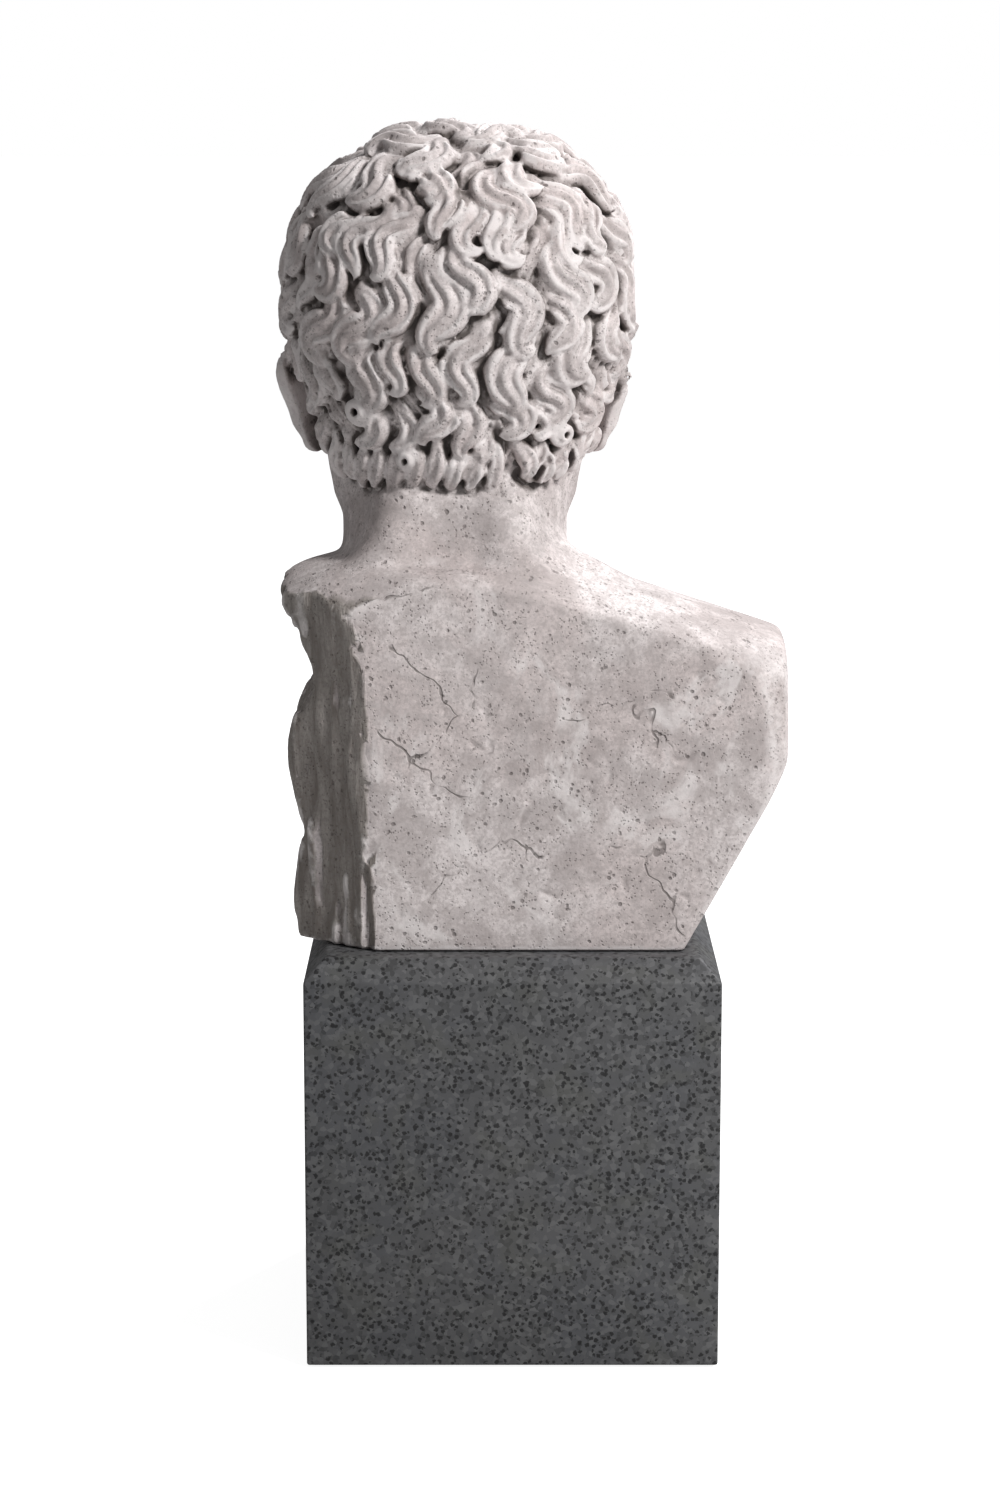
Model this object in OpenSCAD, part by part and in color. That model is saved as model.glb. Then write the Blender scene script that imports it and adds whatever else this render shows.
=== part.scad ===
// Marble bust on a square granite plinth.
// The bust stands on a slip disc and a steel stud, so it can be turned and lifted off.
// Millimetres, +Z up. The origin is the centre of the face that the plinth rests on.
// The bust looks towards -Y, and its flat sawn back faces +Y.

/* [Plinth] */
// Width of the granite block
plinth_w = 220; // [180:1:300]
// Depth of the granite block
plinth_d = 220; // [180:1:300]
// Height of the granite block
plinth_h = 222; // [120:1:400]
// Chamfer round the top, measured along each face
plinth_chamfer = 11; // [4:0.5:20]
// Width of the easing on the sharp edges
plinth_easing = 1.5; // [0.5:0.5:4]
// Thickness of the felt lining
felt_t = 1.5; // [1:0.5:4]
// How far the felt stops short of the plinth's faces
felt_inset = 6; // [2:1:15]

/* [Stud and nuts] */
// Diameter of the steel stud
stud_d = 16; // [12:1:20]
// How far the stud stands up into the bust
stud_reach = 85; // [50:1:120]
// Thickness of the grout round the stud
grout_t = 3; // [2:0.5:5]
// Width across the flats of both nuts
nut_flats = 24; // [20:1:30]
// Height of the lower nut
nut_h = 13; // [10:1:18]
// Height of the thin upper nut
jam_nut_h = 8; // [6:1:10]
// Diameter of the upper washer
washer_d = 34; // [32:1:40]
// Thickness of the upper washer
washer_t = 3; // [2:0.5:4]
// Diameter of the lower plate washer
plate_d = 56; // [40:1:60]
// Thickness of the lower plate washer
plate_t = 4; // [3:0.5:6]
// Outer diameter of the split spring washer
spring_d = 27; // [25:1:32]
// Thickness of the split spring washer
spring_t = 4; // [3:0.5:5]
// Width of the split in the spring washer
spring_gap = 2.5; // [1:0.5:4]
// How far the stud's end shows below the lower nut
stud_tail = 4; // [2:1:8]
// Air between the stud's lower end and the surface underneath
foot_air = 5; // [3:1:12]
// Room for a socket wrench round the plate washer
wrench_room = 4; // [2:1:12]

/* [Slip disc] */
// Diameter of the disc that carries the bust
disc_d = 90; // [60:1:120]
// Thickness of the disc
disc_t = 4; // [3:0.5:8]
// How far the disc stands proud of the plinth
disc_proud = 0.5; // [0.3:0.1:1]

/* [Socket] */
// Wall of the steel sleeve
sleeve_wall = 2; // [1.5:0.5:3]
// Thickness of the resin round the sleeve
resin_t = 3; // [2:0.5:5]
// Thickness of the plug that closes the sleeve
plug_t = 4; // [3:0.5:6]

/* [Bust] */
// Height from the underside to the top of the hair
bust_h = 436; // [350:1:530]
// Thickness of the torso from the sawn back to the chest
torso_t = 180; // [150:1:220]
// How far the sawn back stands in from the plinth's chamfer
back_margin = 12; // [4:1:30]
// Sideways distance of the neck from the middle of the plinth
neck_x = 31; // [0:1:40]
// Reach of the right shoulder from the neck's middle
right_reach = 177; // [140:1:215]
// Reach of the left shoulder from the neck's middle
left_reach = 92; // [75:1:115]
// Width of the neck
neck_w = 122; // [100:1:150]
// Width of the head across the hair
head_w = 198; // [165:1:240]
// Length of the head from brow to the back of the hair
head_t = 205; // [170:1:245]
// Height of an ear
ear_h = 62; // [50:1:75]
// How far the nose stands out
nose_out = 24; // [18:1:30]
// Turn of the rough cut behind the left shoulder
rough_cut_turn = 40; // [30:1:50]
// Lean of the slanting cut below the right shoulder
slant_cut_lean = 29; // [20:1:40]

/* [Clearances] */
// Radial clearance between the stud and the sleeve
running_gap = 0.1; // [0.05:0.05:0.3]
// Radial clearance round the slip disc and the washers
loose_gap = 0.5; // [0.3:0.1:1]
// Radial clearance between the stud and the nuts
thread_gap = 0.1; // [0.05:0.05:0.2]
// Depth of air left over the end of the stud
end_gap = 3; // [2:0.5:6]

/* [Hidden] */
$fn = 64;
overrun = 1;                 // how far a cutter passes through a face
far = 1000;                  // size of the blocks that saw the bust
ring_points = 44;            // points round one section of the bust

plinth_bottom = felt_t;
plinth_top = plinth_bottom + plinth_h;
stud_bottom = foot_air + felt_t;
nut_bottom = stud_bottom + stud_tail;
nut_top = nut_bottom + nut_h;
spring_top = nut_top + spring_t;
recess_top = spring_top + plate_t;
recess_r = plate_d / 2 + wrench_room;
bust_bottom = plinth_top + disc_proud;
disc_bottom = bust_bottom - disc_t;
stud_r = stud_d / 2;
washer_hole_r = stud_r + loose_gap;
nut_hole_r = stud_r + thread_gap;
nut_corner_r = nut_flats / 2 / cos(30);
grout_r = stud_r + grout_t;
pocket_r = washer_d / 2 + 3 * loose_gap;
pocket_bottom = disc_bottom - jam_nut_h - washer_t - end_gap;
stud_top = bust_bottom + stud_reach;
sleeve_in_r = stud_r + running_gap;
sleeve_out_r = sleeve_in_r + sleeve_wall;
sleeve_top = stud_top + end_gap + plug_t;
socket_r = sleeve_out_r + resin_t;
socket_top = sleeve_top + resin_t;
back_y = plinth_d / 2 - plinth_chamfer - back_margin;

// ---- plinth and lining ----

// A block whose vertical edges are eased, with its four top edges chamfered
module plinth_block() {
    top_w = plinth_w - 2 * plinth_chamfer;
    top_d = plinth_d - 2 * plinth_chamfer;
    hull() {
        eased_slab(plinth_w, plinth_d, plinth_bottom + plinth_easing,
                   plinth_top - plinth_chamfer);
        eased_slab(top_w, top_d, plinth_top - overrun, plinth_top);
        eased_slab(plinth_w - 2 * plinth_easing, plinth_d - 2 * plinth_easing,
                   plinth_bottom, plinth_bottom + overrun);
    }
}

module eased_slab(w, d, z0, z1) {
    e = plinth_easing;
    translate([0, 0, z0])
        linear_extrude(z1 - z0)
            polygon([[w / 2 - e, -d / 2], [w / 2, -d / 2 + e], [w / 2, d / 2 - e], [w / 2 - e, d / 2],
                     [-w / 2 + e, d / 2], [-w / 2, d / 2 - e], [-w / 2, -d / 2 + e], [-w / 2 + e, -d / 2]]);
}

module plinth() {
    color([0.27, 0.27, 0.28])
        difference() {
            plinth_block();
            tube_space(recess_r, plinth_bottom - overrun, recess_top);
            tube_space(grout_r, recess_top - overrun, plinth_top + overrun);
            tube_space(pocket_r, pocket_bottom, plinth_top + overrun);
            tube_space(disc_d / 2 + loose_gap, disc_bottom, plinth_top + overrun);
        }
}

module felt_lining() {
    w = plinth_w - 2 * felt_inset;
    d = plinth_d - 2 * felt_inset;
    color([0.10, 0.10, 0.11])
        difference() {
            translate([-w / 2, -d / 2, 0]) cube([w, d, felt_t]);
            tube_space(recess_r, -overrun, felt_t + overrun);
        }
}

// ---- round pieces on the stud's axis ----

module tube_space(r, z0, z1) {
    translate([0, 0, z0]) cylinder(r = r, h = z1 - z0);
}

module ring_piece(r_out, r_in, z0, z1) {
    difference() {
        tube_space(r_out, z0, z1);
        tube_space(r_in, z0 - overrun, z1 + overrun);
    }
}

module hex_nut(z0, h) {
    difference() {
        translate([0, 0, z0]) cylinder(r = nut_corner_r, h = h, $fn = 6);
        tube_space(nut_hole_r, z0 - overrun, z0 + h + overrun);
    }
}

module stud() {
    tip = stud_d / 8;
    color([0.72, 0.73, 0.74]) {
        translate([0, 0, stud_bottom])
            rotate_extrude()
                polygon([[0, 0], [stud_r - tip, 0], [stud_r, tip],
                         [stud_r, stud_top - stud_bottom - tip],
                         [stud_r - tip, stud_top - stud_bottom], [0, stud_top - stud_bottom]]);
    }
}

module stud_grout() {
    color([0.62, 0.60, 0.56])
        ring_piece(grout_r, stud_r, recess_top, pocket_bottom);
}

module upper_washer() {
    color([0.70, 0.71, 0.72])
        ring_piece(washer_d / 2, washer_hole_r, pocket_bottom, pocket_bottom + washer_t);
}

module jam_nut() {
    color([0.70, 0.71, 0.72]) hex_nut(pocket_bottom + washer_t, jam_nut_h);
}

module plate_washer() {
    color([0.70, 0.71, 0.72]) ring_piece(plate_d / 2, washer_hole_r, spring_top, recess_top);
}

module spring_washer() {
    color([0.55, 0.56, 0.58])
        difference() {
            ring_piece(spring_d / 2, washer_hole_r, nut_top, spring_top);
            translate([0, -spring_gap / 2, nut_top - overrun])
                cube([spring_d, spring_gap, spring_t + 2 * overrun]);
        }
}

module lower_nut() {
    color([0.70, 0.71, 0.72]) hex_nut(nut_bottom, nut_h);
}

module slip_disc() {
    color([0.90, 0.90, 0.88])
        ring_piece(disc_d / 2, stud_r + loose_gap, disc_bottom, bust_bottom);
}

module socket_sleeve() {
    color([0.72, 0.73, 0.74]) ring_piece(sleeve_out_r, sleeve_in_r, bust_bottom, sleeve_top);
}

module sleeve_plug() {
    color([0.60, 0.61, 0.62]) tube_space(sleeve_in_r, sleeve_top - plug_t, sleeve_top);
}

module socket_resin() {
    color([0.78, 0.74, 0.66])
        difference() {
            tube_space(socket_r, bust_bottom, socket_top);
            tube_space(sleeve_out_r, bust_bottom - overrun, sleeve_top);
        }
}

// ---- bust ----

// Sections of the torso, from the underside up.
// Height share of bust_h, right and left reach shares, back and chest shares of torso_t, squareness.
torso_sections = [
    [0.000, 1.12, 0.98, 1.12, 0.90, 3.4],
    [0.080, 1.12, 0.99, 1.12, 0.93, 3.2],
    [0.150, 1.12, 1.00, 1.12, 0.97, 3.0],
    [0.210, 1.12, 1.02, 1.12, 1.00, 2.8],
    [0.260, 1.12, 0.98, 1.12, 0.99, 2.7],
    [0.310, 1.12, 0.92, 1.12, 0.93, 2.6],
    [0.345, 1.10, 0.96, 1.10, 0.88, 2.5],
    [0.365, 1.02, 1.00, 1.08, 0.84, 2.4],
    [0.385, 0.86, 1.02, 1.06, 0.82, 2.3],
    [0.405, 0.70, 1.02, 1.04, 0.79, 2.2],
    [0.425, 0.56, 1.02, 1.01, 0.75, 2.1],
    [0.440, 0.48, 0.86, 0.98, 0.72, 2.0]];

// Sections of the neck and jaw.
// Height share of bust_h, half-width share of neck_w, face and back shares of head_t, squareness.
neck_sections = [
    [0.448, 0.535, 0.300, 0.395, 2.0],
    [0.458, 0.515, 0.380, 0.375, 2.0],
    [0.470, 0.505, 0.460, 0.350, 2.0],
    [0.500, 0.510, 0.485, 0.320, 2.0],
    [0.545, 0.545, 0.495, 0.305, 2.1]];

// Sections of the head, with half-width as a share of head_w.
head_sections = [
    [0.580, 0.365, 0.495, 0.335, 2.2],
    [0.625, 0.410, 0.490, 0.395, 2.2],
    [0.680, 0.450, 0.485, 0.455, 2.2],
    [0.735, 0.480, 0.505, 0.490, 2.2],
    [0.800, 0.500, 0.545, 0.500, 2.2],
    [0.860, 0.475, 0.560, 0.465, 2.2],
    [0.910, 0.420, 0.520, 0.395, 2.2],
    [0.950, 0.335, 0.420, 0.310, 2.1],
    [0.980, 0.215, 0.285, 0.200, 2.0],
    [1.000, 0.070, 0.100, 0.060, 2.0]];

skull_y = -10;               // the middle of the head, front to back

function signed_power(v, p) = sign(v) * pow(abs(v), p);

// One closed section: x from x0 to x1, y from y0 to y1, and the widest place nearer the back
function section(z, x0, x1, y0, y1, p) =
    let (yc = y1 - 0.45 * (y1 - y0))
    [for (i = [0 : ring_points - 1])
        let (a = 360 * i / ring_points, c = signed_power(cos(a), 2 / p), s = signed_power(sin(a), 2 / p))
        [(x0 + x1) / 2 + (x1 - x0) / 2 * c, yc + (s > 0 ? y1 - yc : yc - y0) * s, z]];

function torso_ring(s) =
    section(bust_bottom + s[0] * bust_h, neck_x - s[1] * right_reach, neck_x + s[2] * left_reach,
            back_y - s[4] * torso_t, back_y + (s[3] - 1) * torso_t, s[5]);

function head_ring(s, w) =
    section(bust_bottom + s[0] * bust_h, neck_x - s[1] * w, neck_x + s[1] * w,
            skull_y - s[2] * head_t, skull_y + s[3] * head_t, s[4]);

// Skins a stack of sections, each with ring_points points, into one closed solid
module skin(rings) {
    n = ring_points;
    last = len(rings) - 1;
    points = [for (r = rings) each r];
    bottom = [for (i = [0 : n - 1]) i];
    top = [for (i = [n - 1 : -1 : 0]) last * n + i];
    sides = [for (k = [0 : last - 1], i = [0 : n - 1])
        let (a = k * n + i, b = k * n + (i + 1) % n)
        each [[a, b + n, b], [a, a + n, b + n]]];
    polyhedron(points = points, faces = concat([bottom], [top], sides), convexity = 6);
}

module body_mass() {
    skin(concat([for (s = torso_sections) torso_ring(s)],
                [for (s = neck_sections) head_ring(s, neck_w)],
                [for (s = head_sections) head_ring(s, head_w)]));
}

module nose() {
    root = [neck_x, skull_y - 0.485 * head_t, bust_bottom + 0.700 * bust_h];
    tip = [neck_x, skull_y - 0.485 * head_t - nose_out + 7, bust_bottom + 0.618 * bust_h];
    hull() {
        translate(root) sphere(r = 6, $fn = 16);
        translate(tip) sphere(r = 7, $fn = 16);
        for (side = [-1, 1])
            translate(tip + [side * 9, 12, -2]) sphere(r = 7, $fn = 16);
    }
}

module ear(side) {
    x = neck_x + side * 0.44 * head_w;
    z = bust_bottom + 0.66 * bust_h;
    hull() {
        translate([x, skull_y + 22, z + ear_h / 2 - 12]) sphere(r = 8, $fn = 16);
        translate([x, skull_y + 2, z + ear_h / 2 - 14]) sphere(r = 7, $fn = 16);
        translate([x - side * 4, skull_y + 2, z - ear_h / 2 + 8]) sphere(r = 6, $fn = 16);
    }
}

// A large block whose face passes through the given point; the block lies on the outer side
module saw(point, turn, lean) {
    translate(point)
        rotate([0, 0, turn])
            rotate([lean, 0, 0])
                translate([-far / 2, 0, -far / 2]) cube(far);
}

module bust() {
    back_left = [neck_x + 0.52 * left_reach, back_y, bust_bottom + 0.2 * bust_h];
    right_end = [neck_x - right_reach, back_y, bust_bottom];
    slant_foot = [neck_x - 0.69 * right_reach, 0, bust_bottom];
    color([0.72, 0.70, 0.68])
        difference() {
            union() {
                body_mass();
                nose();
                for (side = [-1, 1]) ear(side);
            }
            torso_saws(back_left, right_end, slant_foot);
            tube_space(socket_r, bust_bottom - overrun, socket_top);
        }
}

// The flat sawn back, the rough cut at the back left, and the two cuts at the right end
module torso_saws(back_left, right_end, slant_foot) {
    torso_only = 0.46 * bust_h;
    intersection() {
        union() {
            saw([0, back_y, 0], 0, 0);
            saw(back_left, -rough_cut_turn, -3);
            saw(right_end, 90, 0);
            saw(slant_foot, 90, -slant_cut_lean);
        }
        translate([-far / 2, -far / 2, bust_bottom - overrun]) cube([far, far, torso_only]);
    }
}

plinth();
felt_lining();
stud();
stud_grout();
upper_washer();
jam_nut();
plate_washer();
spring_washer();
lower_nut();
slip_disc();
bust();
socket_sleeve();
sleeve_plug();
socket_resin();
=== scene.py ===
import math
import bmesh
import bpy
import numpy as np
import openvdb
from mathutils import Matrix, Vector


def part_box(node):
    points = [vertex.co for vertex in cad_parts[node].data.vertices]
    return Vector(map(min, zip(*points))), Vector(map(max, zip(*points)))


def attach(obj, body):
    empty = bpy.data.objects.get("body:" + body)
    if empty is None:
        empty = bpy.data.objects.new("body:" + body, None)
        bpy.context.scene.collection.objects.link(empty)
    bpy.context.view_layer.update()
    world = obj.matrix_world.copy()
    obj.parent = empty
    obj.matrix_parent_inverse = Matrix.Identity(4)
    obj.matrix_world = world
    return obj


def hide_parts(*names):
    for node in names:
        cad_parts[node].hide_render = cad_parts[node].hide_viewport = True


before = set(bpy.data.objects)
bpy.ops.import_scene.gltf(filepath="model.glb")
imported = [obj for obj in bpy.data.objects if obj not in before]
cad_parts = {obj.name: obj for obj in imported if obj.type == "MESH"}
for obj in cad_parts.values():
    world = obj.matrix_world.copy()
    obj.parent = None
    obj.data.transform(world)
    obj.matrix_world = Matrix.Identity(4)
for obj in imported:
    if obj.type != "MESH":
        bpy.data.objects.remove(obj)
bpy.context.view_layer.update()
scene = bpy.context.scene
millimetre = 0.001
print("frame loaded", len(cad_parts), "nodes")


def meshObject(name, points, faces, smooth=True):
    mesh = bpy.data.meshes.new(name)
    mesh.from_pydata(points, [], faces)
    mesh.polygons.foreach_set("use_smooth", [smooth] * len(mesh.polygons))
    mesh.update()
    piece = bpy.data.objects.new(name, mesh)
    scene.collection.objects.link(piece)
    return piece


def plainMesh(piece):
    # the evaluated object as a plain mesh, with its modifiers gone
    graph = bpy.context.evaluated_depsgraph_get()
    mesh = bpy.data.meshes.new_from_object(piece.evaluated_get(graph))
    piece.modifiers.clear()
    old = piece.data
    piece.data = mesh
    bpy.data.meshes.remove(old)
    return piece


def recalculateNormals(piece, mergeDistance=1e-6):
    work = bmesh.new()
    work.from_mesh(piece.data)
    bmesh.ops.remove_doubles(work, verts=work.verts, dist=mergeDistance)
    bmesh.ops.recalc_face_normals(work, faces=work.faces)
    work.to_mesh(piece.data)
    work.free()
    return piece


neckX = 31.0


def smoothCurve(knots, values, at):
    # cubic through given values, with the slope at each knot from its neighbours
    knots = np.asarray(knots, dtype=np.float64)
    values = np.asarray(values, dtype=np.float64)
    slopes = np.gradient(values, knots)
    at = np.clip(np.asarray(at, dtype=np.float64), knots[0], knots[-1])
    i = np.clip(np.searchsorted(knots, at) - 1, 0, len(knots) - 2)
    span = knots[i + 1] - knots[i]
    t = (at - knots[i]) / span
    a = (2 * t**3 - 3 * t**2 + 1) * values[i] + (t**3 - 2 * t**2 + t) * span * slopes[i]
    b = (3 * t**2 - 2 * t**3) * values[i + 1] + (t**3 - t**2) * span * slopes[i + 1]
    return (a + b).astype(np.float32)


def smoothStep(low, high, value):
    t = np.clip((value - low) / (high - low), 0, 1)
    return t * t * (3 - 2 * t)


def union(a, b, soft):
    # both shapes as one, with the seam between them rounded
    soft = np.maximum(soft, 1e-3)
    h = np.maximum(soft - np.abs(a - b), 0) / soft
    return np.minimum(a, b) - h * h * h * soft * (1 / 6)


def common(a, b, soft):
    # only what both shapes share
    return -union(-a, -b, soft)


def ellipsoid(x, y, z, centre, radii):
    px, py, pz = (x - centre[0]) / radii[0], (y - centre[1]) / radii[1], (z - centre[2]) / radii[2]
    outer = np.sqrt(px * px + py * py + pz * pz + 1e-4)
    inner = np.sqrt((px / radii[0])**2 + (py / radii[1])**2 + (pz / radii[2])**2 + 1e-4 / max(radii)**2)
    return outer * (outer - 1) / inner


def rod(x, y, z, start, end, r0, r1):
    d = np.subtract(end, start)
    t = ((x - start[0]) * d[0] + (y - start[1]) * d[1] + (z - start[2]) * d[2]) / float(np.dot(d, d))
    t = np.clip(t, 0, 1)
    px, py, pz = x - start[0] - t * d[0], y - start[1] - t * d[1], z - start[2] - t * d[2]
    return np.sqrt(px * px + py * py + pz * pz) - (r0 + t * (r1 - r0))


def tube(x, y, z, points, radii):
    best = None
    for i in range(len(points) - 1):
        d = rod(x, y, z, points[i], points[i + 1], radii[i], radii[i + 1])
        best = d if best is None else np.minimum(best, d)
    return best


def makeGrid(low, high, voxel):
    axes = [np.arange(low[i], high[i] + voxel, voxel, dtype=np.float32) for i in range(3)]
    field = np.full([len(a) for a in axes], 50.0, dtype=np.float32)
    return {"axes": axes, "voxel": voxel, "field": field}


def window(grid, low, high):
    # the part of the grid between two corners
    cuts = []
    for i in range(3):
        axis = grid["axes"][i]
        a = max(int((low[i] - axis[0]) / grid["voxel"]) - 1, 0)
        b = min(int((high[i] - axis[0]) / grid["voxel"]) + 2, len(axis))
        cuts.append(slice(a, max(b, a)))
    x, y, z = [grid["axes"][i][cuts[i]] for i in range(3)]
    return tuple(cuts), x[:, None, None], y[None, :, None], z[None, None, :]


def boxOf(points, margin):
    p = np.asarray(points)
    return p.min(axis=0) - margin, p.max(axis=0) + margin


def add(grid, shape, low, high, soft):
    cut, x, y, z = window(grid, low, high)
    grid["field"][cut] = union(grid["field"][cut], shape(x, y, z).astype(np.float32), soft)


def carve(grid, shape, low, high, soft):
    cut, x, y, z = window(grid, low, high)
    grid["field"][cut] = common(grid["field"][cut], -shape(x, y, z).astype(np.float32), soft)


def bump(u, z, u0, z0, su, sz, height):
    # a round swelling at u0, z0
    return height * np.exp(-((u - u0) / su)**2 - ((z - z0) / sz)**2)


# head and face, all in millimetres; u is measured across from the middle of the face
skull = {"centre": (neckX, -14.0, 562.0), "radii": (75.0, 89.0, 81.0)}
faceTable = {
    # height: half width, front, widest place, back, squareness
    412: (26, -97, -68, -38, 2.0),
    424: (37, -104, -64, -20, 2.1),
    440: (46, -105.5, -57, 0, 2.2),
    455: (53, -106.5, -50, 15, 2.25),
    470: (58.5, -107.5, -43, 36, 2.3),
    490: (64.5, -108, -36, 54, 2.35),
    510: (68.5, -107.5, -30, 64, 2.4),
    530: (70.5, -107.5, -25, 68, 2.4),
    545: (72, -109.5, -20, 70, 2.4),
    560: (73, -111.5, -16, 72, 2.35),
    580: (73, -111.5, -14, 72, 2.3),
    600: (69, -105, -14, 66, 2.25),
    618: (60, -92, -14, 54, 2.2),
    634: (44, -68, -14, 36, 2.1),
}


def faceRelief(u, z):
    # how far the face stands forward of the plain head, from the midline out and from chin to brow
    a = np.abs(u)
    d = np.zeros(np.broadcast(u, z).shape, dtype=np.float32)
    # brow and forehead
    browZ = 545 + 4.0 * np.sin(np.clip((a - 6) / 44, 0, 1) * math.pi * 0.85)
    d += 3.6 * np.exp(-((z - browZ) / 6.0)**2) * np.exp(-((a - 25) / 23)**4)
    d += bump(u, z, 0, 551, 12, 11, 1.6)
    d += bump(a, z, 24, 584, 20, 16, 1.2)
    # hollows of the eyes
    d -= 5.6 * np.exp(-((a - 31.5) / 18)**4 - ((z - 531) / 11.5)**4)
    d -= bump(a, z, 15.5, 533, 6.5, 9, 3.4)
    # nose, from its narrow bridge to the rounded tip and its wings
    height = smoothCurve([470, 474, 478, 481, 484, 488, 494, 503, 514, 526, 537, 546, 558],
                         [0, 1.0, 6.0, 12.6, 17.2, 19.6, 19.6, 17.2, 13.9, 10.7, 8.0, 4.6, 0], z)
    wide = smoothCurve([470, 480, 487, 496, 508, 522, 536, 550],
                       [10, 10.5, 10.6, 9.2, 8.0, 7.2, 7.4, 10], z)
    d += height * np.exp(-(a / wide)**2.3)
    d += bump(u, z, 0, 487.0, 8.0, 6.5, 2.0)
    d += bump(a, z, 13.4, 484.5, 5.0, 5.6, 9.6)
    d += bump(a, z, 13.0, 491, 5.0, 6.5, 3.2)
    d -= bump(a, z, 19.6, 488, 2.8, 7.5, 1.5)
    # muzzle, lips and chin
    d += bump(u, z, 0, 462, 26, 16, 3.6)
    d -= 1.5 * np.exp(-(u / 2.8)**2) * smoothStep(465, 469, z) * (1 - smoothStep(475, 480, z))
    d += 0.9 * np.exp(-((a - 4.6) / 1.8)**2) * smoothStep(465, 469, z) * (1 - smoothStep(475, 480, z))
    mouthZ = 458.6 + 0.5 * np.cos(a / 24 * 2 * math.pi) * np.exp(-(a / 18)**2)
    mouthZ = mouthZ - 0.6 * np.exp(-(u / 4)**2)
    inMouth = np.clip(1 - (a / 25)**2, 0, 1)
    upTop = mouthZ + (8.0 - 1.5 * np.exp(-(u / 3.0)**2) - 0.035 * a) * inMouth**0.55
    lipUp = np.clip((z - mouthZ) / np.maximum(upTop - mouthZ, 0.3), 0, 1)
    upCurve = np.maximum(np.sin(math.pi * lipUp**0.85), 0)**0.6
    d += 5.0 * inMouth**0.5 * np.where(z > mouthZ, upCurve, 0)
    d -= 1.0 * inMouth * np.exp(-((z - upTop - 1.6) / 1.5)**2)
    lowSpan = 9.6 * np.clip(1 - (a / 23)**2, 0.02, 1)**0.6
    lipLow = np.clip((mouthZ - z) / lowSpan, 0, 1)
    lowCurve = np.maximum(np.sin(math.pi * lipLow**0.85), 0)**0.65
    d += 5.8 * inMouth**0.6 * np.where(z < mouthZ, lowCurve, 0)
    d -= 1.0 * inMouth * np.exp(-((z - mouthZ + lowSpan + 1.6) / 1.6)**2)
    d -= 2.2 * np.exp(-((z - mouthZ) / 1.2)**2) * (1 - smoothStep(21, 26, a))
    d -= bump(a, z, 26.0, 458.5, 3.8, 4.4, 2.6)
    d -= bump(u, z, 0, 444, 17, 5.0, 2.4)
    d += bump(u, z, 0, 429, 18, 11, 3.4)
    # cheeks
    d += bump(a, z, 40, 505, 18, 15, 2.8)
    d += bump(a, z, 36, 478, 16, 16, 1.2)
    foldU = 19 + (486 - z) * 0.48
    d -= 0.8 * np.exp(-((a - foldU) / 3.8)**2) * smoothStep(460, 468, z) * (1 - smoothStep(484, 492, z))
    return d


def headBase(x, y, z):
    u = x - neckX
    heights = sorted(faceTable)
    table = np.array([faceTable[h] for h in heights])
    half, front, widest, back, square = [smoothCurve(heights, table[:, i], z) for i in range(5)]
    relief = faceRelief(u, z)
    yy = y + relief * smoothStep(-20, -75, y)
    depth = np.where(yy < widest, widest - front, back - widest)
    m = (np.abs(u) / half)**square + (np.abs(yy - widest) / depth)**square
    m = m**(1 / square)
    d = (m - 1) * np.minimum(half, depth) * 0.9
    return d


def sculptHead(grid):
    low, high = (neckX - 100, -140, 396), (neckX + 100, 96, 664)

    def face(x, y, z):
        d = headBase(x, y, z)
        d = common(d, z - 618, 20)
        # jaw line rises from the chin to the ear
        jaw = 417 + np.clip(y + 100, 0, 200) * 0.46
        d = common(d, (jaw - z) * 0.9, 9)
        return d

    add(grid, face, low, high, 0)
    add(grid, lambda x, y, z: ellipsoid(x, y, z, skull["centre"], skull["radii"]), low, high, 18)
    for s in (-1, 1):
        eyes(grid, s)
        ear(grid, s)
    nostrils(grid)


eye = {"side": 31.5, "y": -89.5, "z": 530.0, "ball": 13.4, "lid": 15.4}


def eyes(grid, s):
    centre = (neckX + s * eye["side"], eye["y"], eye["z"])
    low, high = np.subtract(centre, 24), np.add(centre, 24)
    lids = (eye["lid"] + 1.0, eye["lid"], eye["lid"])
    add(grid, lambda x, y, z: ellipsoid(x, y, z, centre, lids), low, high, 5)

    def opening(x, y, z):
        # two arcs that meet in the corners of the eye
        u = (x - centre[0]) * s
        h = z - centre[2] - 0.06 * u
        upper = np.sqrt((u + 1.0)**2 + (h + 17.4)**2) - 23.4
        lower = np.sqrt((u - 1.0)**2 + (h - 23.6)**2) - 28.4
        floor = ellipsoid(x, y, z, centre, (21.0, eye["ball"] - 0.8, eye["ball"] + 2))
        return np.maximum(np.maximum(np.maximum(upper, lower), y - (centre[1] - 3)), -floor)

    carve(grid, opening, low, high, 0.8)
    ball = (14.6, eye["ball"], eye["ball"])
    add(grid, lambda x, y, z: ellipsoid(x, y, z, centre, ball), low, high, 0.5)
    # fold above the upper lid
    cut, x, y, z = window(grid, low, high)
    u, h = (x - centre[0]) * s, z - centre[2] - 0.06 * (x - centre[0]) * s
    arc = np.sqrt((u + 1.0)**2 + (h + 17.4)**2) - 23.4
    fold = 1.5 * np.exp(-((arc - 4.6) / 1.15)**2) - 0.7 * np.exp(-((arc - 1.2) / 1.2)**2)
    here = smoothStep(-17, -10, u) * (1 - smoothStep(12, 19, u))
    here = here * smoothStep(-2, 3, h) * (1 - smoothStep(-84, -78, y))
    grid["field"][cut] += (fold * here).astype(np.float32)


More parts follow.
